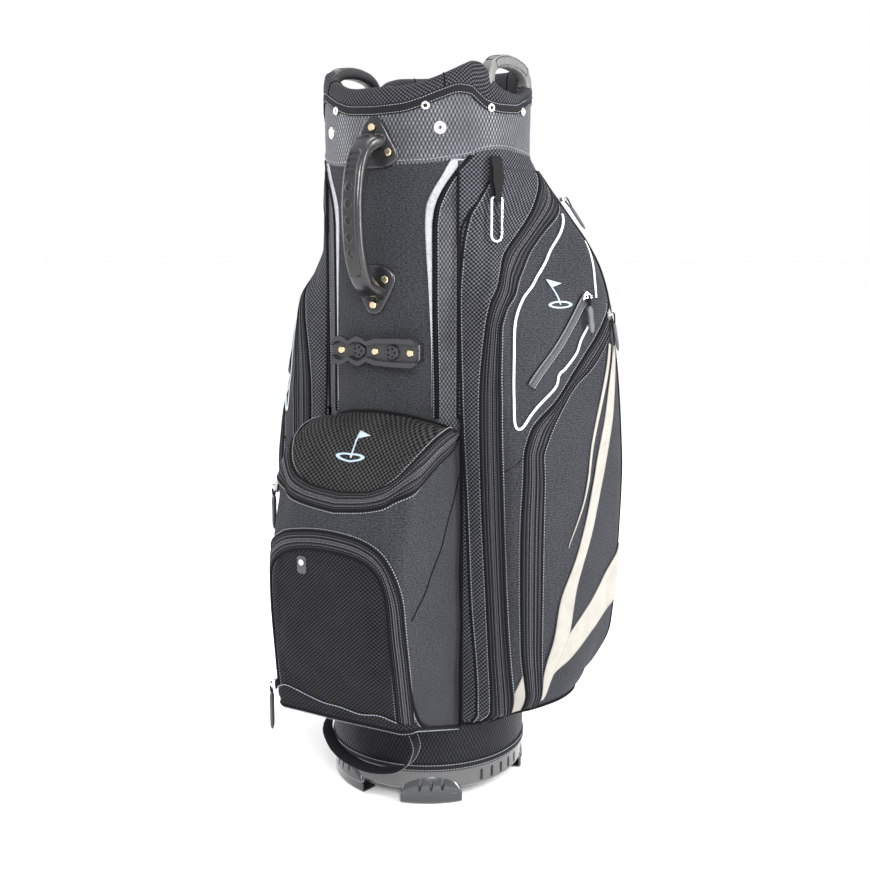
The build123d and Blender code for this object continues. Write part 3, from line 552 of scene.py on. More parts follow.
def mat_mesh(name, a, b, hole_shade, yarn, light, depth_=0.9, glint=0.6):
    """Knitted spacer mesh: staggered oval holes between raised yarns, the holes painted near-black as painted shade and
    the yarn crossings lit with painted glints.
    """
    n = Nodes(name, yarn, 0.62, spec=0.08)
    x, y, vec = n.uv()
    h = n.lattice(a, b)                                  # 1 at the holes
    open_ = n.remap(h, 0.56, 0.86, 0.0, 1.0)
    strand = n.wave(n.math("ADD", x, n.math("MULTIPLY", y, 0.6)), 0.9)
    cloud = n.noise(0.03, 3, 0.5, vec)
    c = n.mix(n.remap(cloud, 0.3, 0.7, 0, 1), yarn, light)
    c = n.mix(n.math("MULTIPLY", strand, 0.3), c, tuple(1.7 * k for k in light))
    # painted shade: the open holes take the near-black hole colour
    c = n.mix(open_, c, hole_shade)
    # painted highlight: the yarn crossings are painted lighter as glints
    crossing_glint = n.math("MULTIPLY", n.remap(h, 0.24, 0.03, 0.0, 1.0), n.remap(n.noise(0.35, 2, 0.6, vec), 0.35, 0.65, 0.25, 1.0))
    c = n.mix(n.math("MULTIPLY", crossing_glint, glint), c, tuple(min(1, 4.4 * k) for k in light))
    n.color(c)
    n.rough(n.remap(h, 0.02, 0.6, 0.36, 0.9))
    n.bump(n.math("SUBTRACT", 1.0, open_), depth_, 1.0); n.bump(strand, 0.12, 0.6)
    return n.m


def mat_vinyl(name, a, b, base, top, rough_top=0.34, spec=0.5):
    """Embossed vinyl: staggered scales with a low gloss on their crowns; the grooves between scales are darkened as
    painted shade and the crowns carry painted highlights.
    """
    n = Nodes(name, base, 0.5, spec=spec)
    x, y, vec = n.uv()
    h = n.lattice(a, b)
    cell = n.remap(h, 0.22, 0.72, 0.0, 1.0)
    tilt_ = n.math("MULTIPLY_ADD", n.math("FRACT", n.math("MULTIPLY", y, 2.0 / b)), 0.5, 0.25)
    cloud = n.noise(0.03, 3, 0.5, vec)
    # painted shade: the grooves between the scales are painted near-black
    c = n.mix(cell, tuple(0.16 * k for k in base), n.mix(n.remap(cloud, 0.3, 0.7, 0, 1), base, top))
    # painted highlight: the scales' crowns are painted lighter as glints
    crown = n.math("MULTIPLY", n.remap(h, 0.70, 0.95, 0.0, 1.0), n.remap(n.noise(0.30, 2, 0.6, vec), 0.40, 0.62, 0.15, 1.0))
    c = n.mix(n.math("MULTIPLY", crown, 0.55), c, tuple(min(1, 2.6 * k) for k in top))
    n.color(c)
    n.rough(n.mix(cell, (0.72, 0.72, 0.72), n.remap(n.noise(0.8, 2, 0.5, vec), 0.2, 0.8, rough_top, rough_top + 0.2)))
    n.bump(cell, 0.75, 1.0); n.bump(tilt_, 0.25, 0.5); n.bump(n.noise(2.2, 2, 0.6, vec), 0.12, 0.5)
    return n.m


def mat_tape(name, base, light, pitch=1.3, across=True, rough=0.7):
    """Ribbed tape: binding, welts and zip tape."""
    n = Nodes(name, base, rough, spec=0.06, sheen=0.01)
    x, y, vec = n.uv()
    r = n.wave(x if across else y, pitch)
    r2 = n.wave(y if across else x, pitch * 0.62)
    f = n.noise(0.9, 3, 0.6, vec)
    c = n.mix(n.math("MULTIPLY", r, 0.5), base, light)
    c = n.mix(n.remap(f, 0.55, 0.8, 0, 0.45), c, tuple(1.8 * k for k in light))
    n.color(c)
    n.rough(n.remap(f, 0.2, 0.8, rough - 0.12, min(1, rough + 0.15)))
    n.bump(n.math("MULTIPLY", r, r2), 0.3, 0.8); n.bump(f, 0.2, 0.5)
    return n.m


def mat_plastic(name, base, rough=0.42, grain=900.0, grain_h=0.12, worn=1.7, spec=0.5, coat=0.0):
    """Moulded plastic or rubber: fine spark grain, handling marks, paler edges."""
    n = Nodes(name, base, rough, spec=spec, coat=coat)
    g = n.noise(grain, 2, 0.5); cl = n.noise(14, 4, 0.55); sc = n.noise(60, 5, 0.7, stretch=(1, 1, 0.15))
    c = n.mix(n.remap(cl, 0.35, 0.7, 0, 1), base, tuple(min(1, 1.18 * k) for k in base))
    geo = n.node("ShaderNodeNewGeometry")
    edge = n.remap(geo.outputs["Pointiness"], 0.52, 0.60, 0.0, 0.45)
    c = n.mix(edge, c, tuple(min(1, worn * k + 0.01) for k in base))
    n.color(c)
    n.rough(n.math("ADD", n.remap(cl, 0.2, 0.8, rough - 0.07, rough + 0.1), n.remap(sc, 0.5, 0.8, 0.0, 0.1)))
    n.bump(g, grain_h, 0.8); n.bump(cl, 0.25, 0.35)
    return n.m


def mat_metal(name, base, rough=0.25):
    n = Nodes(name, base, rough, metal=1.0)
    f = n.noise(120, 4, 0.6); s = n.noise(500, 2, 0.5, stretch=(1, 1, 0.1))
    n.color(n.mix(n.remap(f, 0.45, 0.8, 0.0, 0.6), base, tuple(0.72 * k for k in base)))
    n.rough(n.remap(f, 0.2, 0.8, rough - 0.08, rough + 0.18))
    n.bump(s, 0.03, 0.5)
    return n.m


def mat_print(name, base, alt, rough=0.5, flake_glint=0.0, metal=0.0):
    """Printed or heat-bonded film over the weave."""
    n = Nodes(name, base, rough, spec=0.5, metal=metal)
    x, y, vec = n.uv()
    f = n.noise(0.9, 4, 0.65, vec); w = n.noise(0.05, 3, 0.5, vec)
    c = n.mix(n.remap(w, 0.3, 0.7, 0, 1), base, alt)
    # the film's flakes are painted as lighter spots, a painted glint for their sparkle
    if flake_glint:
        v = n.node("ShaderNodeTexVoronoi"); n.t.links.new(vec, v.inputs["Vector"]); v.inputs["Scale"].default_value = 1.4
        c = n.mix(n.remap(v.outputs["Distance"], 0.1, 0.55, flake_glint, 0.0), c, tuple(min(1, 2.1 * k) for k in base))
    c = n.mix(n.remap(f, 0.6, 0.78, 0.0, 0.25), c, tuple(0.55 * k for k in base))
    n.color(c)
    n.rough(n.remap(f, 0.2, 0.8, rough - 0.1, rough + 0.2))
    yarn = n.math("MULTIPLY", n.wave(x, 1.15), n.wave(y, 1.0))
    n.bump(yarn, 0.08, 0.6)
    return n.m


def mat_thread(name, base):
    n = Nodes(name, base, 0.6, spec=0.4)
    f = n.noise(700, 2, 0.6)
    n.color(n.mix(n.remap(f, 0.3, 0.7, 0, 1), tuple(0.7 * k for k in base), base)); n.bump(f, 0.15, 0.8)
    n.rough(n.remap(f, 0.3, 0.7, 0.5, 0.8))
    return n.m


def mat_coil(name, base):
    """Zip coil: close nylon turns, painted lighter on their crests and darker between them as painted highlight and
    shade.
    """
    n = Nodes(name, base, 0.45, spec=0.5)
    x, y, vec = n.uv()
    r = n.wave(x, 1.5)
    # painted highlight and shade: each turn lighter on its crest, darker in the gap
    n.color(n.mix(r, tuple(0.35 * k for k in base), tuple(1.6 * k for k in base)))
    n.rough(n.remap(r, 0, 1, 0.65, 0.35)); n.bump(r, 0.5, 1.0)
    return n.m


WOVEN = mat_woven("woven_charcoal", (0.0195, 0.0202, 0.0235), (0.0295, 0.0305, 0.0350))
WOVEN_FRONT = mat_woven("woven_front", (0.0200, 0.0206, 0.0238), (0.0275, 0.0283, 0.0325), rib=2.2)
MESH_DOOR = mat_mesh("mesh_door", 5.2, 4.6, (0.002, 0.002, 0.0023), (0.011, 0.011, 0.0117), (0.017, 0.017, 0.0182), 0.9, 0.45)
MESH_LID = mat_mesh("mesh_lid", 5.8, 6.0, (0.0015, 0.0015, 0.0018), (0.017, 0.0168, 0.0168), (0.027, 0.0265, 0.0265), 1.0, 0.55)
MESH_GUSSET = mat_mesh("mesh_gusset", 5.4, 4.8, (0.002, 0.002, 0.0025), (0.026, 0.0268, 0.031), (0.042, 0.0435, 0.050), 1.1, 0.9)
MESH_RIM = mat_mesh("mesh_rim", 4.4, 4.4, (0.002, 0.002, 0.0025), (0.022, 0.0225, 0.0255), (0.036, 0.037, 0.042), 1.2, 0.7)
VINYL = mat_vinyl("vinyl_embossed", 4.4, 8.6, (0.050, 0.053, 0.062), (0.098, 0.103, 0.120), 0.24)
# painted shade: the boot's vinyl is a much darker copy of the cuff's, for the shade low on the bag
VINYL_BOOT_SHADED = mat_vinyl("vinyl_boot_painted_shade", 4.4, 8.6, (0.006, 0.0065, 0.008), (0.013, 0.014, 0.017), 0.28, 0.20)
VINYL_STRIP = mat_vinyl("vinyl_strip", 4.2, 6.4, (0.036, 0.038, 0.045), (0.082, 0.086, 0.100), 0.28, 0.35)
TAPE = mat_tape("tape_black", (0.010, 0.010, 0.011), (0.024, 0.024, 0.026))
WELT = mat_tape("welt_black", (0.017, 0.0172, 0.0195), (0.046, 0.047, 0.053), 3.0, across=False, rough=0.48)
WELT_GREY = mat_tape("welt_grey", (0.060, 0.063, 0.071), (0.10, 0.104, 0.116), 1.6, across=False, rough=0.42)
PIPING = mat_tape("piping_black", (0.004, 0.004, 0.0045), (0.012, 0.012, 0.0135), 1.1)
WEBBING = mat_tape("webbing_black", (0.009, 0.009, 0.010), (0.022, 0.022, 0.024), 2.0, rough=0.75)
LINER = mat_woven("liner_cloth", (0.012, 0.012, 0.013), (0.018, 0.018, 0.0195), rib=4.0)
DIVIDER = mat_tape("divider_cloth", (0.014, 0.014, 0.015), (0.028, 0.028, 0.030), 1.4)
THREAD_PALE = mat_thread("thread_grey", (0.34, 0.37, 0.43))
THREAD_DARK = mat_thread("thread_dark", (0.30, 0.315, 0.35))
THREAD_WELT = mat_thread("thread_welt", (0.15, 0.157, 0.175))
COIL = mat_coil("zip_coil", (0.060, 0.060, 0.066))
SILVER = mat_print("film_silver", (0.265, 0.275, 0.295), (0.190, 0.198, 0.215), 0.38, flake_glint=0.9, metal=0.25)
WHITE = mat_print("print_white", (0.66, 0.68, 0.70), (0.50, 0.60, 0.72), 0.45)
CREAM = mat_print("print_cream", (0.300, 0.286, 0.256), (0.245, 0.232, 0.207), 0.5)
MARK = mat_print("print_mark", (0.40, 0.50, 0.58), (0.27, 0.35, 0.43), 0.4)
BASE_GREY = mat_plastic("moulded_grey", (0.050, 0.050, 0.051), 0.26, 700, 0.06, coat=0.3)
PEARL = mat_plastic("pearl_grey", (0.014, 0.016, 0.020), 0.20, 1400, 0.02, worn=1.1, coat=0.9)
HANDLE = mat_plastic("handle_plastic", (0.012, 0.0122, 0.0135), 0.22, 620, 0.16, worn=2.6)
GRIP = mat_plastic("grip_plastic", (0.105, 0.105, 0.104), 0.36, 700, 0.12, worn=1.4)
RUBBER = mat_plastic("handle_rubber", (0.008, 0.008, 0.009), 0.42, 900, 0.14, worn=2.2)
PULL_RUBBER = mat_plastic("pull_rubber", (0.040, 0.042, 0.047), 0.45, 900, 0.12, worn=1.8)
NICKEL = mat_metal("nickel", (0.72, 0.71, 0.69), 0.24)
BRASS = mat_metal("brass", (0.86, 0.70, 0.46), 0.22)
ALU = mat_metal("anodised_aluminium", (0.88, 0.89, 0.90), 0.26)
STAY = mat_plastic("fibreglass_stay", (0.30, 0.29, 0.25), 0.45)
# painted shade: near-black fill put in holes and grooves, used for the eyelets' middles and the grip grooves
SHADE_FILL = mat_plastic("painted_shade_fill", (0.006, 0.006, 0.006), 0.8)

for name, m in (("base_moulding", BASE_GREY), ("barrel_tube", LINER), ("floor_pad", LINER), ("support_stays", STAY), ("top_ring", HANDLE),
                ("snaps_small", NICKEL), ("snaps_large", NICKEL), ("handle_screws", BRASS), ("accessory_plate", HANDLE),
                ("accessory_rails", HANDLE), ("accessory_discs", HANDLE), ("accessory_screws", BRASS), ("carabiner_body", ALU), ("carabiner_gate", ALU),
                ("emblem_tab", PULL_RUBBER)):
    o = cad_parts[name]
    if not o.data.materials:
        o.data.materials.append(m)
    for s in o.material_slots:
        s.link = "OBJECT"; s.material = m
for name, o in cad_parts.items():
    if "_zip_slider" in name:
        for s in o.material_slots:
            s.link = "OBJECT"; s.material = NICKEL

# ------------------------------------------------------------------ shared curves round the top
CUFF_LOW = table([(0, 750.5), (25, 751.5), (41, 755.5), (52, 760), (57.5, 765), (71, 769), (89, 766), (113, 761), (140, 754), (180, 751)])
BIND_LOW = table([(0, 804.5), (15, 806.5), (25, 812), (36, 821), (46, 827.5), (52, 826), (57, 818), (62, 811.5), (71, 809), (83, 810), (92, 816),
                  (104, 824), (122, 827.5), (145, 820), (160, 811), (180, 806)])
RIM_TOP = table([(0, 836), (12, 836), (21, 838), (31, 844), (38, 849.5), (44, 855), (50, 860.5), (55, 864), (59, 863), (63, 856), (68, 845), (74, 838), (84, 834.5), (90, 834),
                 (97, 835.5), (105, 840), (112, 848), (118, 859), (125, 868), (134, 872), (150, 873), (165, 874), (180, 874)])
angs = np.arange(-180, 180, 1.5)


def ring(r, z_of, step=1.5, off=0.0):
    a = np.arange(-180, 180, step)
    t_ = np.radians(a); zz = z_of(np.abs(a)) + off
    rr = r(a) if callable(r) else r
    P = np.column_stack([rr * np.sin(t_), -rr * np.cos(t_), zz])
    N = np.column_stack([np.sin(t_), -np.cos(t_), 0 * t_])
    return P, N


# padded mesh roll round the mouth, down inside it
def rim_roll():
    m = Mesh()
    a = np.arange(-180, 180, 1.0); t_ = np.radians(a); top = RIM_TOP(np.abs(a)); low = BIND_LOW(np.abs(a)) + 9.0
    K = 30; th = np.linspace(0, 1, K)
    P = np.zeros((len(a), K, 3)); UV = np.zeros((len(a) + 1, K, 2))
    puff = 0.9 * np.sin(np.radians(a * 7)) * 0.35
    for k, s in enumerate(th):
        # outside wall, over the crown, inside wall
        if s < 0.34:
            f = s / 0.34; r = 121.6 + 1.5 * math.sin(math.pi * f) * 1.0; z = low + (top - 8.2 - low) * f
        elif s < 0.66:
            f = (s - 0.34) / 0.32 * math.pi; r = 113.4 + 8.2 * math.cos(f); z = top - 8.2 + 8.2 * np.sin(f)
        else:
            f = (s - 0.66) / 0.34; r = 105.2 - 0.7 * math.sin(math.pi * f); z = (top - 8.2) + (819.5 - (top - 8.2)) * f
        r = r + puff * (1 if 0.1 < s < 0.9 else 0)
        P[:, k] = np.column_stack([r * np.sin(t_), -r * np.cos(t_), z + 0 * t_])
    P += (wobble(P, 34, 3) * 0.5)[..., None] * unit(P * [1, 1, 0])
    d = np.cumsum(np.concatenate([np.zeros((len(a), 1)), np.linalg.norm(np.diff(P, axis=1), axis=2)], 1), axis=1)
    UV[:-1, :, 0] = (np.radians(a + 180) * 118)[:, None]; UV[-1, :, 0] = 2 * math.pi * 118
    UV[:-1, :, 1] = d; UV[-1] = np.stack([UV[-1, :, 0], d[0]], -1)
    N = unit(np.gradient(P, axis=0)); c = np.cross(np.roll(P, -1, 0) - P, np.gradient(P, axis=1))
    m.grid(P, UV, N=unit(c) * np.sign(np.sum(c[:, 3] * unit(P[:, 3] * [1, 1, 0]), -1))[:, None, None], wrap=True)
    m.make("rim_roll", MESH_RIM, "bag", "mesh_fabric", ["top_collar"], thick=2.0, padded=0.6)
    # seams of the roll at the mouth's four quarters
    s = Mesh()
    for ang in (-38, 38, 142, -142):
        i = int(round(ang + 180)) % 360
        p = P[i][2:-2]; n = np.gradient(p, axis=0); nn = unit(np.cross(n, np.array([math.cos(math.radians(ang)), math.sin(math.radians(ang)), 0])))
        nn = nn * np.sign(np.sum(nn * (p - [113 * math.sin(math.radians(ang)), -113 * math.cos(math.radians(ang)), 0] * np.array([1, 1, 0]) - [0, 0, 835]), -1, keepdims=True))
        s.pill(p, nn, 0.9, up=0.1, sides=6)
    s.make("rim_seams", PIPING, "bag", "binding_tape", recalc=True)


rim_roll()

# cuff: embossed vinyl with a turned hem, binding tape above it
def cuff():
    m = Mesh()
    a = np.arange(-180, 180, 1.25); lo = CUFF_LOW(np.abs(a)); hi = BIND_LOW(np.abs(a)) + 6
    rows = np.r_[0, 0.02, 0.05, np.linspace(0.09, 1, 20)]
    r = np.r_[120.2, 121.9, 122.4, 122.2, np.full(19, 121.7)]
    t_ = np.radians(a)
    z = lo[:, None] + (hi - lo)[:, None] * rows[None]
    rr = r[None] + wobble(np.stack([np.broadcast_to((a * 2)[:, None], z.shape), z, 0 * z], -1), 60, 5) * 0.35
    P = np.stack([rr * np.sin(t_)[:, None], -rr * np.cos(t_)[:, None], z], -1)
    UV = np.zeros((len(a) + 1, len(rows), 2)); UV[:-1, :, 0] = np.radians(a + 180)[:, None] * 121.8; UV[-1, :, 0] = 2 * math.pi * 121.8
    UV[:-1, :, 1] = z; UV[-1, :, 1] = z[0]
    m.grid(P, UV, N=unit(P * [1, 1, 0]), wrap=True)
    m.make("cuff_vinyl", VINYL, "bag", "embossed_vinyl", ["upper_cuff"], thick=1.6)
    s = Mesh()
    p, n = ring(122.2, CUFF_LOW, off=5.2)
    s.stitches(np.vstack([p, p[:1]]), np.vstack([n, n[:1]]), up=0.3, pitch=3.6, length=2.5, r=0.36)
    s.make("cuff_hem_stitch", THREAD_DARK, "bag", "binding_tape")
    w = Mesh()
    p, n = ring(122.35, BIND_LOW, off=5.6)
    n2 = unit(n + [0, 0, 0.0])
    w.sweep(p, n2, rrect(11.4, 1.9, 0.85), closed=True)
    w.make("cuff_binding_tape", TAPE, "bag", "binding_tape", ["cuff_binding"], recalc=True)
    e = Mesh()
    for off in (1.5, 9.7):
        p, n = ring(123.35, BIND_LOW, off=off)
        e.stitches(np.vstack([p, p[:1]]), np.vstack([n, n[:1]]), up=0.15, pitch=3.2, length=2.2, r=0.3)
    e.make("cuff_binding_stitch", THREAD_DARK, "bag", "binding_tape")


cuff()

# eyelets and press studs
def eyelet(m, a, z, r0, prof, mat):
    """Turned form on the barrel: prof is (radius, height) from the rim inwards."""
    t_ = math.radians(a); er_ = np.array([math.sin(t_), -math.cos(t_), 0]); et_ = np.array([math.cos(t_), math.sin(t_), 0]); ez = np.array([0, 0, 1.0])
    th_ = np.linspace(0, 2 * math.pi, 41)[:-1]
    p = np.array(prof, float)
    d_ = et_[None, None] * (p[None, :, :1] * np.cos(th_)[:, None, None]) + ez[None, None] * (p[None, :, :1] * np.sin(th_)[:, None, None])
    P = er_ * r0 + ez * z + d_ + er_[None, None] * p[None, :, 1:]
    # the flange follows the curve of the barrel
    P = P - er_[None, None] * (np.sum(d_ * et_, -1) ** 2 / (2 * r0))[..., None]
    m.grid(P, None, mat=mat, N=np.broadcast_to(er_, P.shape), wrap=True)


m = Mesh()
for a_ in (28, -28, 64, -64, 91, -91, 135, -135):
    eyelet(m, a_, 814, 123.3, [(4.7, 0.0), (4.8, 0.5), (4.5, 1.2), (3.8, 1.75), (3.1, 1.95), (2.5, 1.8), (2.1, 1.3), (2.0, 0.5), (2.0, -0.4)], 0)
    # painted shade: the eyelet's hole is closed with the near-black fill
    eyelet(m, a_, 814, 123.3, [(2.1, 0.1), (1.5, 0.35), (0.8, 0.5), (0.02, 0.55)], 1)
m.make("eyelets_small", [NICKEL, SHADE_FILL], "bag", "nickel", ["snaps_small"])
m = Mesh()
for a_ in (35.5, -35.5, 144, -144):
    eyelet(m, a_, 791, 121.7, [(7.1, 0.0), (7.2, 0.5), (6.9, 1.2), (6.1, 1.75), (5.2, 1.9), (4.7, 1.7), (4.4, 1.1), (4.2, 0.9), (3.6, 1.3), (3.0, 1.9), (2.5, 2.0), (2.1, 1.6), (1.9, 0.8), (1.8, -0.2)], 0)
    # painted shade: the stud's middle is closed with the near-black fill
    eyelet(m, a_, 791, 121.7, [(1.9, 0.1), (1.0, 0.2), (0.02, 0.2)], 1)
m.make("studs_large", [NICKEL, SHADE_FILL], "bag", "nickel", ["snaps_large"])

# ------------------------------------------------------------------ barrel skin
B0 = barrel(121.0)
PIPE1 = table([(98, 33.5), (491, 34), (548, 33.5), (604, 33), (681, 33), (702, 34), (719, 37), (740, 43), (756, 50), (770, 55)])
PIPE2 = table([(98, 60), (141, 55), (192, 50.5), (254, 48), (315, 46), (374, 45), (433, 45.5), (490, 46), (648, 46), (681, 47), (697, 50.5), (714, 57.5), (747, 66), (770, 71)])
SILVER_OUT = table([(480, 31.4), (502, 31.4), (686, 31.4), (702, 32.5), (722, 36), (740, 42), (759, 49), (772, 53)])
SILVER_IN = table([(480, 31.3), (502, 31.3), (540, 31.1), (581, 30.4), (626, 29.3), (659, 28.3), (686, 27.8), (705, 28.3), (722, 31.4), (740, 36.6), (756, 41), (772, 46)])


def barrel_panel(name, left, right, z0, z1, mat, slot, replaces=(), nz=90, na=36, r=121.0, wob=0.5, seed=1, thick=1.6):
    z = np.linspace(z0, z1, nz); s = np.linspace(0, 1, na)
    L, R = left(z), right(z)
    A = L[None] + (R - L)[None] * s[:, None]; Z = np.broadcast_to(z[None], A.shape)
    P0 = B0.at(A, Z)
    rr = r - 121.0 + wobble(P0, 90, seed) * wob * np.sin(math.pi * s)[:, None] ** 0.5
    P = P0 + unit(P0 * [1, 1, 0]) * rr[..., None]
    UV = np.stack([np.radians(A) * 121.0, Z], -1)
    m = Mesh(); m.grid(P, UV, N=unit(P0 * [1, 1, 0]))
    return m.make(name, mat, "bag", slot, replaces, thick=thick)


barrel_panel("front_panel_woven", lambda z: -PIPE1(z), PIPE1, 100, 760, WOVEN_FRONT, "woven_fabric", ["front_panel"], nz=140, na=40, wob=0.6)
barrel_panel("mesh_strip_right", PIPE1, PIPE2, 100, 766, VINYL_STRIP, "mesh_fabric", ["mesh_strips"], na=12, r=121.2, wob=0.2)
barrel_panel("mesh_strip_left", lambda z: -PIPE2(z), lambda z: -PIPE1(z), 100, 766, VINYL_STRIP, "mesh_fabric", na=12, r=121.2, wob=0.2)
barrel_panel("back_panel_woven", PIPE2, lambda z: 360 - PIPE2(z), 100, 764, WOVEN, "woven_fabric", ["back_panel"], nz=140, na=110, wob=0.5)
for s, side in ((1, "right"), (-1, "left")):
    for tag, f0, f1, mt in (("front", SILVER_IN, SILVER_OUT, SILVER),):
        z = np.linspace(482, 758, 90); m = Mesh()
        q = np.linspace(0, 1, 6)
        A = f0(z)[None] + (f1(z) - f0(z))[None] * q[:, None]; Z = np.broadcast_to(z[None], A.shape)
        P0 = B0.at(A * s, Z)
        P = P0 + unit(P0 * [1, 1, 0]) * 1.0
        m.grid(P, np.stack([np.radians(A) * 121, Z], -1), N=unit(P0 * [1, 1, 0]))
        m.make(f"silver_stripe_{side}", mt, "bag", thick=0.9)
    m = Mesh(); st = Mesh()
    for f, r_, up in ((PIPE1, 1.9, 0.6), (PIPE2, 1.9, 0.7)):
        z = np.linspace(470 if f is PIPE1 else 470, 762, 150)
        P = B0.at(s * f(z), z); N = unit(P * [1, 1, 0])
        m.pill(P, N, r_, up=up)
        for o in (-3.4, 3.4):
            st.stitches(P, N, off=o, up=0.5, pitch=3.3)
    for off in (-2.6, 2.6):                     # twin cords beside the first piping
        z = np.linspace(470, 762, 150); P = B0.at(s * (PIPE1(z) + off / 2.1), z); N = unit(P * [1, 1, 0])
        m.pill(P, N, 0.8, up=0.3, sides=6)
    m.make(f"barrel_piping_{side}", PIPING, "bag", "binding_tape", recalc=True)
    st.make(f"barrel_stitch_{side}", THREAD_DARK, "bag", "binding_tape")

# back: two piped seams up the back, one each side of its middle, and two tapes across between them
m = Mesh(); st = Mesh()
for a0 in (158, -158):
    z = np.linspace(104, 758, 200); P = B0.at(np.full_like(z, a0), z); N = unit(P * [1, 1, 0])
    m.pill(P, N, 1.8, up=0.5)
    for o in (-3.4, 3.4):
        st.stitches(P, N, off=o, up=0.4, pitch=3.4)
for z0, w in ((250, 26), (560, 26)):
    a = np.linspace(-158, -202, 60); P = B0.at(a, np.full_like(a, z0)); N = unit(P * [1, 1, 0])
    m.sweep(P + N * 0.9, N, rrect(w, 1.6, 0.7))
    for o in (-w / 2 + 2, w / 2 - 2):
        st.stitches(P + N * 1.6, N, off=o, up=0.2, pitch=3.4)
m.make("back_seams", PIPING, "bag", "binding_tape", recalc=True)
st.make("back_stitch", THREAD_DARK, "bag", "binding_tape")

# boot and its binding
a = np.arange(-180, 180, 1.25)
m = Mesh(); z = np.r_[np.linspace(50.5, 104.5, 22)]
A, Z = np.meshgrid(a, z, indexing="ij"); P = B0.at(A, Z); N = unit(P * [1, 1, 0]); P = P + N * (wobble(P, 50, 9) * 0.35 + 0.1)[..., None]
UV = np.zeros((len(a) + 1, len(z), 2)); UV[:-1, :, 0] = np.radians(A + 180) * 121; UV[-1, :, 0] = 2 * math.pi * 121; UV[:, :, 1] = z[None]
m.grid(P, UV, N=N, wrap=True)
# the boot takes the darkened vinyl, painted shade
m.make("boot_vinyl", VINYL_BOOT_SHADED, "bag", "embossed_vinyl", ["boot_shell"], thick=1.6)
m = Mesh(); t_ = np.radians(a)
P = np.column_stack([121.3 * np.sin(t_), -121.3 * np.cos(t_), 0 * t_ + 47.2]); N = unit(P * [1, 1, 0])
m.sweep(P, N, rrect(9.8, 2.2, 0.9), closed=True)
m.make("boot_binding_tape", TAPE, "bag", "binding_tape", ["boot_binding"], recalc=True)
m = Mesh()
for zz in (44.2, 50.2):
    P2 = P * [1.0092, 1.0092, 0] + [0, 0, zz]
    m.stitches(np.vstack([P2, P2[:1]]), np.vstack([N, N[:1]]), up=0.1, pitch=3.4, length=2.3)
m.make("boot_binding_stitch", THREAD_DARK, "bag", "binding_tape")

# ------------------------------------------------------------------ zips
ZPROF = [(-1, -0.6), (-.97, 1.2), (-.9, 2.0), (-.78, 2.1), (-.62, 1.2), (-.5, 1.5), (-.4, 2.3), (-.27, 2.3), (-.2, 1.1), (-.12, 0.6), (0, 0.6)]


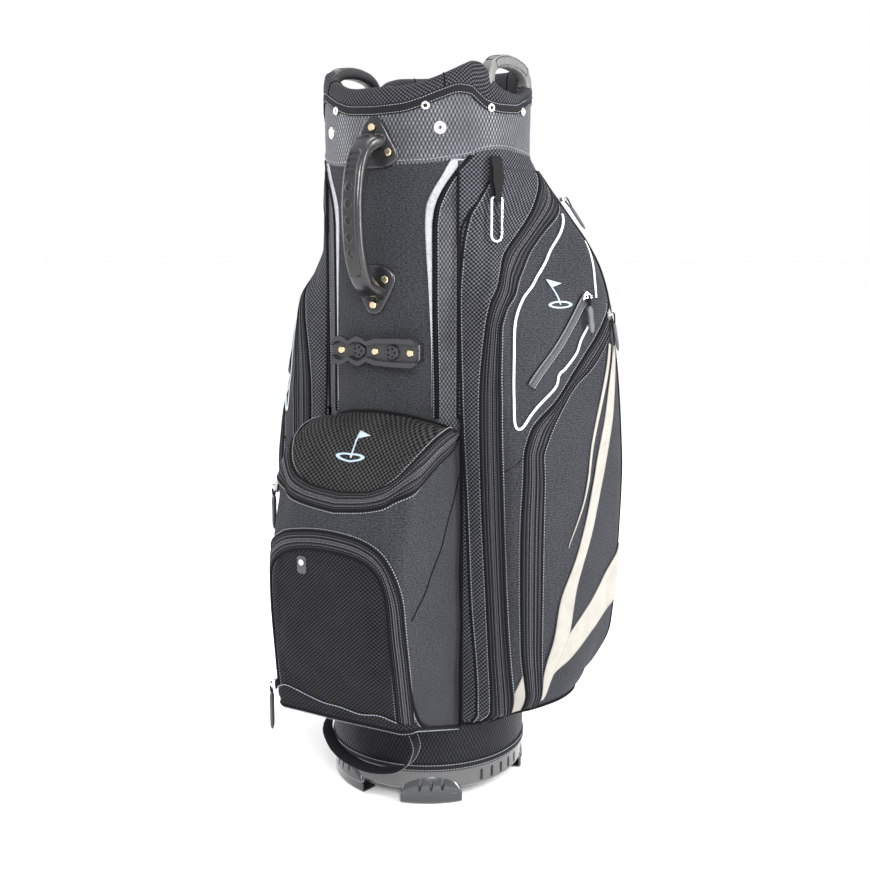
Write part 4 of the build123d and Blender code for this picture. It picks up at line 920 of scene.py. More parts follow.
def zip_band(surf, L, R, ts, side_of, name, bodies, halfgap=0.0, close=False, mats=None, coil=True, pull_in=0.0):
    """Zip between two edges. L and R give surface parameters at ts; ts itself is not used. side_of = (body of the left
    half, body of the right half).
    """
    aL, bL = L; aR, bR = R
    prof = ZPROF + [(-x, h) for x, h in reversed(ZPROF[:-1])]
    xs = np.array([p[0] for p in prof]); hs = np.array([p[1] for p in prof])
    PL, PR = surf.at(aL, bL), surf.at(aR, bR)
    along = np.r_[0, np.cumsum(np.linalg.norm(np.diff((PL + PR) / 2, axis=0), axis=1))]
    made = []
    for half, body in ((-1, side_of[0]), (1, side_of[1])):
        k = np.where(xs <= 0)[0] if half < 0 else np.where(xs >= 0)[0]
        q = (xs[k] + 1) / 2; h = hs[k]
        A = aL[None] + (aR - aL)[None] * q[:, None]; Bv = bL[None] + (bR - bL)[None] * q[:, None]
        P = surf.at(A, Bv); N = surf.nrm(A, Bv)
        w = np.linalg.norm(PR - PL, axis=1)
        if side_of[0] != side_of[1]:
            pass
        P = P + N * (h[:, None, None] * np.clip(w / 16, 0.5, 1)[None, :, None])
        UV = np.stack([np.broadcast_to(along[None], A.shape), q[:, None] * w[None]], -1)
        m = Mesh(); m.grid(P, UV, N=N)
        m.make(f"{name}_welt_{'a' if half < 0 else 'b'}", WELT, body, "binding_tape", thick=1.5)
        # two sewn folds along the welt
        fold, sewn = Mesh(), Mesh()
        for qq in ((0.17, 0.35) if half < 0 else (0.83, 0.65)):
            hq = float(np.interp(qq * 2 - 1, xs, hs)); Aq, Bq = aL + (aR - aL) * qq, bL + (bR - bL) * qq
            C = surf.at(Aq, Bq); dq = np.r_[0, np.cumsum(np.linalg.norm(np.diff(C, axis=0), axis=1))]
            sq = np.linspace(0, dq[-1], max(3, int(dq[-1] / 2.5))); a_, b_ = np.interp(sq, dq, Aq), np.interp(sq, dq, Bq)
            Nq = surf.nrm(a_, b_); C = surf.at(a_, b_) + Nq * (hq * np.interp(sq, dq, np.clip(w / 16, 0.5, 1)))[:, None]
            fold.pill(C, Nq, 0.62, up=0.12, sides=6)
            sewn.stitches(C, Nq, off=1.25 * half, up=0.2, pitch=3.3, length=2.1, r=0.3)
        fold.make(f"{name}_fold_{'a' if half < 0 else 'b'}", PIPING, body, "binding_tape", recalc=True)
        sewn.make(f"{name}_sewn_{'a' if half < 0 else 'b'}", THREAD_WELT, body, "binding_tape")
    # coil on the middle line, its two rows of turns
    if coil:
        A = (aL + aR) / 2; Bv = (bL + bR) / 2
        c = surf.at(A, Bv); n = surf.nrm(A, Bv)
        d = np.r_[0, np.cumsum(np.linalg.norm(np.diff(c, axis=0), axis=1))]
        s = np.arange(0, d[-1], 0.55)
        c = np.column_stack([np.interp(s, d, c[:, i]) for i in range(3)]); n = unit(np.column_stack([np.interp(s, d, n[:, i]) for i in range(3)]))
        puls = 1 + 0.22 * np.cos(s * 2 * math.pi / 1.65)
        tg = unit(np.gradient(c, axis=0)); b = np.cross(tg, n)
        for half, body in ((-1, side_of[0]), (1, side_of[1])):
            m = Mesh()
            sg = half * (1 if np.sum(b * (PR[0] - PL[0])) > 0 else -1)
            m.sweep(c + b * (sg * 1.25) + n * 0.95, n, [(1.15 * math.cos(t_), 0.85 * math.sin(t_)) for t_ in np.linspace(0, 2 * math.pi, 7)[:-1]], scale=puls)
            m.make(f"{name}_coil_{'a' if half < 0 else 'b'}", COIL, body, "binding_tape", recalc=True)


def edge_line(surf, pts_a, pts_b, m, st, r=1.7, up=0.9, offs=(3.2,), pitch=3.3):
    P = surf.at(pts_a, pts_b)
    d = np.r_[0, np.cumsum(np.linalg.norm(np.diff(P, axis=0), axis=1))]
    n = max(3, int(d[-1] / 2.5)); s = np.linspace(0, d[-1], n)
    a = np.interp(s, d, pts_a); b = np.interp(s, d, pts_b)
    P = surf.at(a, b); N = surf.nrm(a, b)
    m.pill(P, N, r, up=up)
    for o in offs:
        st.stitches(P, N, off=o, up=0.45, pitch=pitch)
    return P, N

# ------------------------------------------------------------------ garment pockets
GSEAM = table([(99, .85), (136, .85), (257, .6), (375, .45), (491, .25), (603, .15), (648, .3), (697, .75), (730, 2.35), (750, 3.2)])
Z1L = table([(99, 1.5), (140, 1.55), (189, 1.45), (260, 1.3), (378, 1.05), (492, .95), (571, 1.2), (599, 1.6), (625, 2.9), (698, 5.55), (730, 6.5), (750, 7.2)])
Z1R = table([(99, 2.75), (133, 2.6), (191, 2.35), (263, 2.15), (380, 1.95), (494, 1.8), (571, 2.0), (593, 2.55), (614, 3.75), (676, 5.8), (714, 7.2), (735, 7.9), (750, 8.3)])
Z2L = table([(99, 3.4), (142, 3.35), (204, 3.05), (323, 2.95), (426, 3.15), (459, 3.7), (470, 4.1), (485, 4.65), (519, 5.55), (549, 6.4), (575, 7.1), (588, 7.6), (600, 8.0)])
Z2R = table([(99, 4.05), (150, 4.0), (202, 3.95), (321, 3.95), (425, 4.0), (447, 4.25), (468, 4.6), (505, 5.5), (522, 6.2), (553, 7.1), (575, 7.95), (588, 8.4), (600, 8.7)])
FACE_R = table([(99, 3.4), (142, 3.35), (204, 3.05), (323, 2.95), (426, 3.15), (459, 3.7), (470, 4.1), (485, 4.65), (519, 5.55), (549, 6.4), (575, 7.1), (588, 7.9), (598, 8.5), (650, 8.52), (750, 8.55)])
ZB = table([(0, 101), (1, 103), (2, 117), (2.65, 124), (4, 129), (6, 131), (8, 133), (9, 132), (11, 120), (13, 102)])


def gpanel(surf, name, left, right, z0, z1, na, nz, mat, body, slot, replaces=(), lift=None, wob=0.6, seed=1, thick=1.8, zpow=1.0, padded=None):
    q = np.linspace(0, 1, na); s = np.linspace(0, 1, nz) ** zpow
    z = z0 + (z1 - z0) * s
    A = left(z)[None] + (right(z) - left(z))[None] * q[:, None]; Z = np.broadcast_to(z[None], A.shape)
    P = surf.at(A, Z); N = surf.nrm(A, Z)
    edge = (np.sin(math.pi * q) ** 0.6)[:, None] * (np.sin(math.pi * np.clip((z - z0) / max(z1 - z0, 1), 0, 1)) ** 0.4)[None]
    h = wobble(P, 110, seed) * wob * edge
    if lift is not None:
        h = h + lift(A, Z, q[:, None], edge)
    P = P + N * h[..., None]
    # the weave keeps level: u round the pocket, v up it
    UV = np.stack([np.cumsum(np.concatenate([np.zeros((1, nz)), np.linalg.norm(np.diff(P, axis=0), axis=2)], 0), 0), Z + 0.0], -1)
    m = Mesh(); m.grid(P, UV, N=N)
    return m.make(name, mat, body, slot, replaces, thick=thick, padded=padded)


def shape_on(surf, A, Z, lift, name, mat, body, thick=0.7, slot=None):
    P = surf.at(A, Z); N = surf.nrm(A, Z); P = P + N * lift
    m = Mesh(); m.grid(P, None, N=N)
    return m.make(name, mat, body, slot, thick=thick)


def door_bulge(A, Z, q, edge):
    """Padding of the big panel: fullest low down, pulled in at its seams."""
    return 1.5 * edge * smoothstep(Z, 130, 260) * (1 - 0.4 * smoothstep(Z, 420, 580))


def ribbon(surf, pts, width, lift, name, mat, body, thick=0.8):
    """Flat printed band along a path on a surface; width in millimetres, one number or one per path point."""
    P, N, ab = on(surf, pts, step=2.0)
    n = len(P); w = np.interp(np.linspace(0, 1, n), np.linspace(0, 1, len(width)), width) if hasattr(width, "__len__") else np.full(n, float(width))
    T = unit(np.gradient(P, axis=0)); Bn = np.cross(T, N)
    R = np.stack([P + Bn * (w / 2 * s)[:, None] + N * lift for s in (-1, -0.5, 0, 0.5, 1)], 0)
    m = Mesh(); m.grid(R, None, N=np.broadcast_to(N[None], R.shape))
    return m.make(name, mat, body, thick=thick)


def pictogram(surf_pt, size, lift, name, body):
    """A plain flag on a pin over a putting green: the generic mark. surf_pt(x, y) gives a point and its normal, in millimetres from the mark's middle."""
    m = Mesh()

    def patch(f, na, nb):
        q, r = np.meshgrid(np.linspace(0, 1, na), np.linspace(0, 1, nb), indexing="ij")
        x, y = f(q, r); P, N = surf_pt(x * size, y * size)
        m.grid(P + N * lift, None, N=N)
    patch(lambda q, r: (-0.05 + 0.10 * q, -0.80 + 1.75 * r), 3, 16)
    patch(lambda q, r: (0.05 + (0.75 * q) * (1 - abs(2 * r - 1) * q ** 0 * 0 - 0.0) * 1.0, 0.95 - 0.30 * q - (0.55 - 0.55 * q) * r * 1.0 + 0.0 * q), 10, 6)
    th = lambda r: r * 2 * math.pi
    patch(lambda q, r: ((0.62 + 0.22 * q) * np.cos(th(r)), -0.80 + (0.15 + 0.11 * q) * np.sin(th(r))), 3, 40)
    return m.make(name, MARK, body, thick=0.5)


for sgn, side, G in ((1, "right", GR), (-1, "left", GL)):
    door = f"garment_door_{side}"
    pleat = lambda A, Z, q, e: 2.6 * e * np.sin(q * 3 * math.pi + 0.6) * smoothstep(Z, 560, 660) * (1 - smoothstep(Z, 700, 748)) + 1.4 * e * np.sin(math.pi * q)
    ut = np.linspace(0, 13, 90); T0 = G.at(ut, np.full_like(ut, 748.5)); an = np.arctan2(T0[:, 0], -T0[:, 1])
    T1 = np.column_stack([121.5 * np.sin(an), -121.5 * np.cos(an), CUFF_LOW(np.abs(np.degrees(an))) + 5.0])
    kk = np.linspace(0, 1, 10); Pt = T0[:, None] + (T1 - T0)[:, None] * kk[None, :, None]
    du = np.cumsum(np.r_[0, np.linalg.norm(np.diff(T0, axis=0), axis=1)])
    m = Mesh(); m.grid(Pt, np.stack([np.broadcast_to(du[:, None], (90, 10)), Pt[..., 2]], -1), N=unit(Pt * [1, 1, 0]) + [0, 0, 0.6]); m.make(f"gusset_top_{side}", MESH_GUSSET, "bag", "mesh_fabric", thick=1.6)
    gpanel(G, f"gusset_front_{side}", lambda z: 0 * z, GSEAM, 99.5, 750, 10, 170, MESH_GUSSET, "bag", "mesh_fabric", wob=0.3, seed=2)
    gpanel(G, f"gusset_mesh_{side}", GSEAM, Z1L, 99.5, 749, 26, 200, MESH_GUSSET, "bag", "mesh_fabric", lift=pleat, wob=0.8, seed=3)
    gpanel(G, f"pocket_face_{side}", Z1R, FACE_R, 99.5, 749, 44, 260, WOVEN, "bag", "woven_fabric", [f"garment_pocket_{side}"],
           lift=lambda A, Z, q, e: 1.6 * e * np.sin(math.pi * q) * smoothstep(Z, 130, 220)
           + 1.5 * e * smoothstep(Z, 610, 680) * (1 - smoothstep(Z, 722, 748)) * np.sin(A * 5.2 + Z * 0.012), wob=1.3, seed=4)
    gpanel(G, f"pocket_back_{side}", lambda z: 0 * z + 8.5, lambda z: 0 * z + 13.0, 99.5, 749, 44, 180, WOVEN, "bag", "woven_fabric", wob=0.9, seed=5,
           lift=lambda A, Z, q, e: 1.5 * e)
    gpanel(G, f"pocket_bottom_{side}", lambda z: (Z2L(z) + Z2R(z)) / 2, lambda z: 0 * z + 8.52, 99.5, 133, 50, 22, WOVEN, "bag", "woven_fabric", wob=0.2, seed=6)
    gpanel(G, f"pocket_door_{side}", Z2R, lambda z: 0 * z + 8.5, 133.6, 588, 60, 220, WOVEN, door, "woven_fabric", [door], lift=door_bulge, wob=0.9, seed=7, thick=2.4, padded=0.45)
    # zips down the two edges
    z = np.r_[np.linspace(103, 560, 190), np.linspace(562, 748.5, 120)]
    zip_band(G, (Z1L(z), z), (Z1R(z), z), z, ("bag", "bag"), f"zip_side_{side}", None)
    z = np.r_[np.linspace(131, 430, 130), np.linspace(432, 592, 110)]
    zip_band(G, (Z2L(z), z), (Z2R(z), z), z, ("bag", door), f"zip_garment_{side}", None)
    pip, thr, pipd, thrd = Mesh(), Mesh(), Mesh(), Mesh()
    z1 = np.linspace(101, 748.5, 300)
    edge_line(G, Z1L(z1), z1, pip, thr, offs=(-3.0, 2.9))
    edge_line(G, Z1R(z1), z1, pip, thr, offs=(-2.9, 3.0))
    z1 = np.linspace(101, 748, 260)
    edge_line(G, GSEAM(z1), z1, pip, thr, r=1.4, up=0.5, offs=(2.6,))
    z1 = np.linspace(126, 596, 260)
    edge_line(G, Z2L(z1), z1, pip, thr, offs=(-3.0, 2.9))
    z1 = np.linspace(133.5, 592, 260)
    edge_line(G, Z2R(z1), z1, pipd, thrd, offs=(-2.9, 3.0))
    z1 = np.linspace(101, 748, 200)
    edge_line(G, 0 * z1 + 8.52, z1, pip, thr, r=1.3, up=0.9, offs=(3.0,))
    z1 = np.linspace(101, 745, 200)
    edge_line(G, 0 * z1 + 11.4, z1, pip, thr, r=1.5, up=1.2, offs=(-3.0, 3.0))
    for uu in (0.02, 12.98):
        z1 = np.linspace(101, 748, 200)
        edge_line(G, 0 * z1 + uu, z1, pip, thr, r=1.7, up=0.6, offs=())
    u1 = np.linspace(0.1, 13, 240)
    edge_line(G, u1, ZB(u1), pip, thr, r=1.9, up=1.0, offs=(3.2,))
    # short seam across the face
    P, N, ab = on(G, [(2.1, 412), (2.6, 420), (3.05, 428)], step=1.5)
    pip.pill(P, N, 0.5, up=1.0, sides=6)
    pip.make(f"pocket_piping_{side}", PIPING, "bag", "binding_tape", recalc=True)
    thr.make(f"pocket_stitch_{side}", THREAD_DARK, "bag", "binding_tape")
    pipd.make(f"door_piping_{side}", PIPING, door, "binding_tape", recalc=True)
    thrd.make(f"door_stitch_{side}", THREAD_DARK, door, "binding_tape")
    # white outline trims
    ribbon(G, [(6.9, 699), (6.85, 695), (6.55, 681), (6.0, 658), (5.55, 641), (4.7, 619), (3.9, 603), (3.35, 587), (3.05, 571), (2.85, 540), (2.68, 500), (2.63, 476),
               (2.68, 465), (2.85, 460.5), (3.15, 463), (3.6, 474), (4.65, 502), (4.88, 518), (5.15, 525), (5.65, 541), (5.9, 555), (6.4, 575)], 2.9, 2.7,
           f"trim_outline_{side}", WHITE, "bag")
    ribbon(G, [(7.5, 668), (7.2, 649), (6.98, 629), (6.8, 603)], 2.6, 1.9, f"trim_short_{side}", WHITE, "bag")
    # slanted welt pocket
    s0, s1 = np.array([6.42, 604.0]), np.array([3.82, 507.0])
    P, N, ab = on(G, [s0 + (s1 - s0) * k for k in np.linspace(0, 1, 8)], step=1.6)
    P = P + N * 1.9
    m = Mesh(); m.sweep(P, N, rrect(10.5, 1.8, 0.8)); m.make(f"welt_slant_{side}", WELT_GREY, "bag", "binding_tape", recalc=True)
    m = Mesh(); d = np.arange(len(P)); m.sweep(P + N * 1.35, N, rrect(3.0, 1.2, 0.5), scale=1 + 0.15 * np.cos(d * math.pi)); m.make(f"coil_slant_{side}", COIL, "bag", "binding_tape", recalc=True)
    m = Mesh(); m2 = Mesh()
    for o in (-4.4, 4.4):
        m.stitches(P + N * 0.8, N, off=o, up=0.3, pitch=3.2)
        T = unit(np.gradient(P, axis=0)); Bn = np.cross(T, N); m2.pill(P + Bn * (o * 1.28), N, 0.9, up=0.1, sides=6)
    m.make(f"stitch_slant_{side}", THREAD_DARK, "bag", "binding_tape"); m2.make(f"piping_slant_{side}", PIPING, "bag", "binding_tape", recalc=True)
    # printed stripes on the door, and their foot on the face
    L1 = table([(141, 4.02), (168, 4.06), (182, 4.15), (211, 4.4), (257, 4.6), (307, 5.15), (347, 5.5), (404, 5.9), (460, 6.55), (512, 7.05), (545, 7.55)])
    R1 = table([(141, 4.10), (165, 4.35), (190, 4.65), (212, 4.9), (265, 5.15), (332, 5.8), (390, 6.25), (458, 7.0), (512, 7.45), (545, 7.85)])
    q, z = np.meshgrid(np.linspace(0, 1, 8), np.linspace(141, 545, 160), indexing="ij")
    A = L1(z) + (R1(z) - L1(z)) * q
    top_h = lambda A_, Z_: 3.4
    shape_on(G, A, z, 3.4, f"print_wide_{side}", CREAM, door, thick=1.2)
    lo = table([(4.0, 138), (4.45, 171), (4.9, 181), (6.0, 207), (7.05, 224), (8.45, 236)]); hi = table([(4.0, 150), (4.4, 190), (4.9, 213), (5.9, 246), (6.85, 275), (8.45, 300)])
    uu, k = np.meshgrid(np.linspace(4.03, 8.42, 70), np.linspace(0, 1, 12), indexing="ij")
    zz = lo(uu) + (hi(uu) - lo(uu)) * k
    shape_on(G, uu, zz, 3.25, f"print_swoosh_{side}", CREAM, door, thick=1.2)
    ribbon(G, [(7.25, 548), (7.15, 541), (6.5, 484), (5.8, 428), (5.4, 371), (4.9, 327), (4.83, 318)], [4.2, 4.6, 4.4, 3.8, 3.0, 1.8, 0.5], 3.2, f"print_thin_{side}", CREAM, door, thick=1.1)
    q, k = np.meshgrid(np.linspace(0, 1, 8), np.linspace(0, 1, 20), indexing="ij")
    za = 122 + 4 * q; zb_ = 150 + 24 * q; zz = za + (zb_ - za) * k
    A = (Z1R(zz) + 0.12) + (Z2L(zz) - 0.12 - Z1R(zz) - 0.12) * q
    shape_on(G, A, zz, 1.5, f"print_foot_{side}", CREAM, "bag", thick=1.0)
    # generic mark on the pocket's face
    c = G.at(5.35, 609.0); n0 = G.nrm(5.35, 609.0)
    e = np.array([0.12 * sgn, 0.55, 0.0]); ax = unit(np.cross([0, 0, 1.0], n0)) * (1 if sgn > 0 else 1)

    def near(x, y, G=G):
        return G.at(5.35 + x * 0.036, 609.0 + y), G.nrm(5.35 + x * 0.036, 609.0 + y)
    pictogram(near, 16, 2.2, f"mark_pocket_{side}", "bag")

# ------------------------------------------------------------------ front pockets
VTOP = table([(0, 377), (33, 380.5), (59, 386), (78, 393), (100, 403), (136.7, 421), (180, 437), (191, 445), (200, 451)])
ZIN = np.array([(-84, 146), (-86, 180), (-87, 230), (-86.5, 280), (-83, 306), (-68, 322), (-40, 331), (0, 333), (40, 327), (61, 312), (71, 285), (74, 240), (76, 200), (78, 146)], float)
ZOUT = np.array([(-98, 142), (-100, 180), (-101, 230), (-100.5, 285), (-96, 322), (-76, 342), (-42, 350.5), (0, 352.5), (44, 346), (72, 328), (86, 292), (90, 240), (92, 195), (94, 142)], float)
zin, zout = catmull_raw(ZIN), catmull_raw(ZOUT)
zmid = (zin + zout) / 2


def inside(x, y, poly):
    r = np.zeros(x.shape, bool); n = len(poly)
    for i in range(n):
        x0, y0 = poly[i - 1]; x1, y1 = poly[i]
        c = ((y0 > y) != (y1 > y)) & (x < (x1 - x0) * (y - y0) / (y1 - y0 + 1e-12) + x0)
        r ^= c
    return r


def side_padding(A, Vv):
    k = np.clip((np.abs(A) - 100) / 100, 0, 1)
    return 3.2 * np.sin(math.pi * k) ** 0.8 * np.sin(math.pi * np.clip((Vv - 134) / 290, 0, 1)) ** 0.7


def front_height(A, Vv, P):
    """Padding and soft folds of the pocket's cloth."""
    k = smoothstep(np.abs(A), 96, 125) * (1 - smoothstep(np.abs(A), 170, 198)) * np.clip((Vv - 140) / 60, 0, 1) * np.clip((VTOP(np.abs(A)) - Vv) / 30, 0, 1)
    return side_padding(A, Vv) + wobble(P, 95, 21) * 0.9 + k * wobble(P * [1, 1, 0.45], 34, 22) * 1.3


a = np.r_[np.linspace(-200, -101, 60), np.linspace(-100, 100, 120), np.linspace(101, 200, 60)]
s_ = np.linspace(0, 1, 130)
A = np.broadcast_to(a[:, None], (len(a), 130)); V_ = 134 + (VTOP(np.abs(a)) - 134)[:, None] * s_[None]
P = FP.at(A, V_); N = FP.nrm(A, V_)
P = P + N * front_height(A, V_, P)[..., None]
UV = np.stack([A * 1.0, P[..., 2]], -1)
ca = (A[:-1, :-1] + A[1:, 1:]) / 2; cv = (V_[:-1, :-1] + V_[1:, 1:]) / 2
keep = ~inside(ca, cv, np.vstack([zmid, [(86, 147), (-91, 147)]]))
m = Mesh(); m.grid(P, UV, N=N, keep=keep)
m.make("front_pocket_cloth", WOVEN, "bag", "woven_fabric", ["ball_pocket_body", "upper_pocket_body"], thick=2.2, padded=0.4)
# underside
a2 = np.linspace(-200, 200, 120); E = FP.at(a2, np.full_like(a2, 134.0))
xt = E[:, 0] * 0.93; T_ = np.column_stack([xt, -np.sqrt(np.maximum(122.3 ** 2 - xt ** 2, 80 ** 2)), 0 * xt + 99.5])
k = np.linspace(0, 1, 16)
P = E[:, None] + (T_ - E)[:, None] * k[None, :, None]; P[..., 2] -= 3.0 * np.sin(math.pi * k)[None] * (1 - (np.abs(a2) / 200) ** 4)[:, None]
m = Mesh(); m.grid(P, None, N=np.broadcast_to([0, -0.2, -1.0], P.shape)); m.make("front_pocket_bottom", WOVEN, "bag", "woven_fabric", thick=2.0)
# floor between the two pockets
m = Mesh(); x, y = np.meshgrid(np.linspace(-74, 74, 40), np.linspace(0, 1, 30), indexing="ij")
yb = -np.sqrt(122.5 ** 2 - x ** 2); yf = -203 + 9 * (np.abs(x) / 74) ** 4; yy = yf + (yb - yf) * y
P = np.stack([x, yy, 366 - 2.5 * np.sin(math.pi * y) * np.cos(x / 60) + 0 * x], -1)
m.grid(P, None, N=np.broadcast_to([0, 0, 1.0], P.shape)); m.make("pocket_floor", LINER, "bag", "liner", thick=2.0)

# ball pocket door: mesh panel between the two zip ends
lt = table([(146, -84), (180, -86), (230, -87), (280, -86.5), (306, -83), (316, -76), (322, -68), (328, -52), (331, -40), (333.4, -10)])
rt = table([(146, 78), (200, 76), (240, 74), (285, 71), (302, 66), (312, 61), (321, 51), (327, 40), (331, 24), (333.4, 8)])
q = np.linspace(0, 1, 80); v = 146 + (333.4 - 146) * (1 - (1 - np.linspace(0, 1, 100)) ** 1.5)
A = lt(v)[None] + (rt(v) - lt(v))[None] * q[:, None]; V_ = np.broadcast_to(v[None], A.shape)
P = FP.at(A, V_); N = FP.nrm(A, V_)
e = (np.sin(math.pi * q) ** 0.6)[:, None] * (np.sin(math.pi * np.clip((v - 140) / 200, 0, 1)) ** 0.5)[None]
P = P + N * (0.6 + 2.6 * e + wobble(P, 80, 33) * 0.5 * e)[..., None]
m = Mesh(); m.grid(P, np.stack([A, P[..., 2]], -1), N=N)
edge = np.minimum(np.minimum(A - lt(V_), rt(V_) - A), np.minimum(V_ - 164.0, 333.4 - V_))
pin = np.maximum(1 - smoothstep(edge, 1.0, 16.0), (1 - smoothstep(np.abs(A + 45), 16, 30)) * smoothstep(V_, 268, 284))
m.make("ball_door_mesh", MESH_DOOR, "ball_door", "mesh_fabric", ["ball_pocket_door"], thick=3.0, padded=0.5, sim=(pin, 2.5, 3.2))
zip_band(FP, (zin[:, 0], zin[:, 1]), (zout[:, 0], zout[:, 1]), None, ("ball_door", "bag"), "zip_ball", None)
pip, thr, pipd, thrd = Mesh(), Mesh(), Mesh(), Mesh()
edge_line(FP, zin[:, 0], zin[:, 1], pipd, thrd, r=1.8, up=1.6, offs=(-3.2, 3.0))
edge_line(FP, zout[:, 0], zout[:, 1], pip, thr, r=1.8, up=1.2, offs=(-3.0, 3.2))
# turned hem with pale thread along the door's foot
hp = np.array([(-86, 156), (-74, 163), (-60, 161), (-44, 157), (-20, 152), (4, 151), (30, 147.5), (54, 150.5), (70, 148), (80, 146)], float)
P, N, ab = on(FP, hp, step=2.0)
q5 = np.linspace(0, 1, 6); lo_ = np.full(len(ab), 143.5)
A = np.broadcast_to(ab[:, 0][None], (6, len(ab))); Vh = lo_[None] + (ab[:, 1] - lo_)[None] * q5[:, None]
Ph = FP.at(A, Vh); Nh = FP.nrm(A, Vh); Ph = Ph + Nh * (2.6 + 1.0 * np.sin(math.pi * q5))[:, None, None]
m = Mesh(); m.grid(Ph, np.stack([A, Vh], -1), N=Nh); m.make("ball_door_hem", MESH_DOOR, "ball_door", "mesh_fabric", thick=1.8)
uu, kk = np.meshgrid(np.linspace(-96, 99, 140), np.linspace(0, 1, 8), indexing="ij"); vv = 134.6 + (144.5 - 134.6) * kk
Pf = FP.at(uu, vv) + FP.nrm(uu, vv) * (1.0 + 0.6 * np.sin(math.pi * kk))[..., None]
m = Mesh(); m.grid(Pf, np.stack([uu, vv], -1), N=FP.nrm(uu, vv)); m.make("pocket_foot_mesh", MESH_DOOR, "bag", "mesh_fabric", thick=1.2)
P = P + N * 3.2
pale = Mesh(); pale.stitches(P, N, off=0.0, up=0.6, pitch=3.9, length=3.0, r=0.5)
pale.make("ball_door_hem_thread", THREAD_PALE, "ball_door", "binding_tape", recalc=True)
# edges of the pocket, with a rounded corner piped down its front
for sg in (-1, 1):
    cp = catmull_raw(np.array([(91.8, 205), (92.6, 190), (94.2, 174), (97.5, 158), (103.5, 146), (112, 139), (124, 135.5)], float)) * [sg, 1]
    edge_line(FP, cp[:, 0], cp[:, 1], pip, thr, r=1.8, up=1.2, offs=(3.2 * sg,))
aa = np.linspace(-199, 199, 260)
edge_line(FP, aa, np.full_like(aa, 134.5), pip, thr, r=1.9, up=0.8, offs=(3.4,))
for sg in (-1, 1):
    vv = np.linspace(134, 450, 140)
    edge_line(FP, np.full_like(vv, sg * 198.5), vv, pip, thr, r=1.8, up=1.2, offs=(sg * 3.4,))
    # slanting seam on the flank
    ps = np.array([(194, 403), (164, 352), (132, 303), (101, 262)], float) * [sg, 1]
    P, N, ab = on(FP, ps, step=1.5)
    P = P + N * front_height(ab[:, 0], ab[:, 1], P)[:, None]; pip.pill(P, N, 0.65, up=0.55, sides=6)

# lid edge, by the same run round the pocket
LE = [(0, (0, -196, 393.5)), (37, (37, -196, 398)), (56, (55, -195.5, 405)), (72, (68, -191, 414)), (86, (79, -180, 428)), (105, (87, -162, 443)), (140, (89.5, -134, 455)), (175, (88.5, -108, 459)), (200, (84.5, -88, 452))]
lx, ly, lz = (table([(k_, p_[i]) for k_, p_ in LE]) for i in range(3))


def lid_edge(aa_):
    s = np.abs(aa_); return np.stack([lx(s) * np.sign(aa_ + 1e-9), ly(s), lz(s)], -1)


def band_fn(a_, b_):
    O = FP.at(a_, VTOP(np.abs(a_))); E_ = lid_edge(a_)
    P_ = O + (E_ - O) * b_[..., None]
    out = unit(P_ - np.array([0, -110, 360.0])) * [1, 1, 0.6]
    return P_ + out * (2.2 * np.sin(math.pi * np.clip(b_, 0, 1)))[..., None]


class Band(Surf):
    def nrm(self, a_, b_, ea=0.5, eb=0.02):
        return Surf.nrm(self, a_, b_, ea, eb)


LB = Band(band_fn, ref=(0, -105, 385))
LID_BLEND = ("bag", "lid", (0, (-113 + TY) / 1000, 0.466), (0, (-146 + TY) / 1000, 0.440))
aa = np.linspace(-196, 196, 300)
zip_band(LB, (aa, np.zeros_like(aa)), (aa, np.ones_like(aa)), None, ("bag", LID_BLEND), "zip_lid", None)
edge_line(LB, aa, np.zeros_like(aa), pip, thr, r=1.8, up=1.2, offs=(-3.0, 3.0))
lp, lt_ = Mesh(), Mesh()
edge_line(LB, aa, np.ones_like(aa), lp, lt_, r=1.7, up=1.0, offs=(-3.0, 3.0))
lp.make("lid_piping", PIPING, LID_BLEND, "binding_tape", recalc=True); lt_.make("lid_stitch", THREAD_DARK, LID_BLEND, "binding_tape")
pip.make("front_pocket_piping", PIPING, "bag", "binding_tape", recalc=True); thr.make("front_pocket_stitch", THREAD_DARK, "bag", "binding_tape")
pipd.make("ball_door_piping", PIPING, "ball_door", "binding_tape", recalc=True); thrd.make("ball_door_stitch", THREAD_DARK, "ball_door", "binding_tape")

RZ = table([(0, 476), (14, 473.5), (28, 466.5), (38, 459.5), (44, 452.5)])


def lid_fn(a_, b_):
    """b from the seam on the barrel (0) to the lid's edge (1)."""
    E_ = lid_edge(a_); g = a_ / 200.0 * 44.0; g = np.sign(g) * 44 * (np.abs(g) / 44) ** 1.0
    t2 = np.radians(g); R_ = np.stack([121.8 * np.sin(t2), -121.8 * np.cos(t2), RZ(np.abs(g))], -1)
    P_ = R_ + (E_ - R_) * b_[..., None]
    k_ = np.sin(math.pi * np.clip(b_, 0, 1)) ** 0.8 * (1 - (np.abs(a_) / 200) ** 2.2)
    return P_ + np.array([0, -0.66, 0.75]) * (9.5 * k_)[..., None]


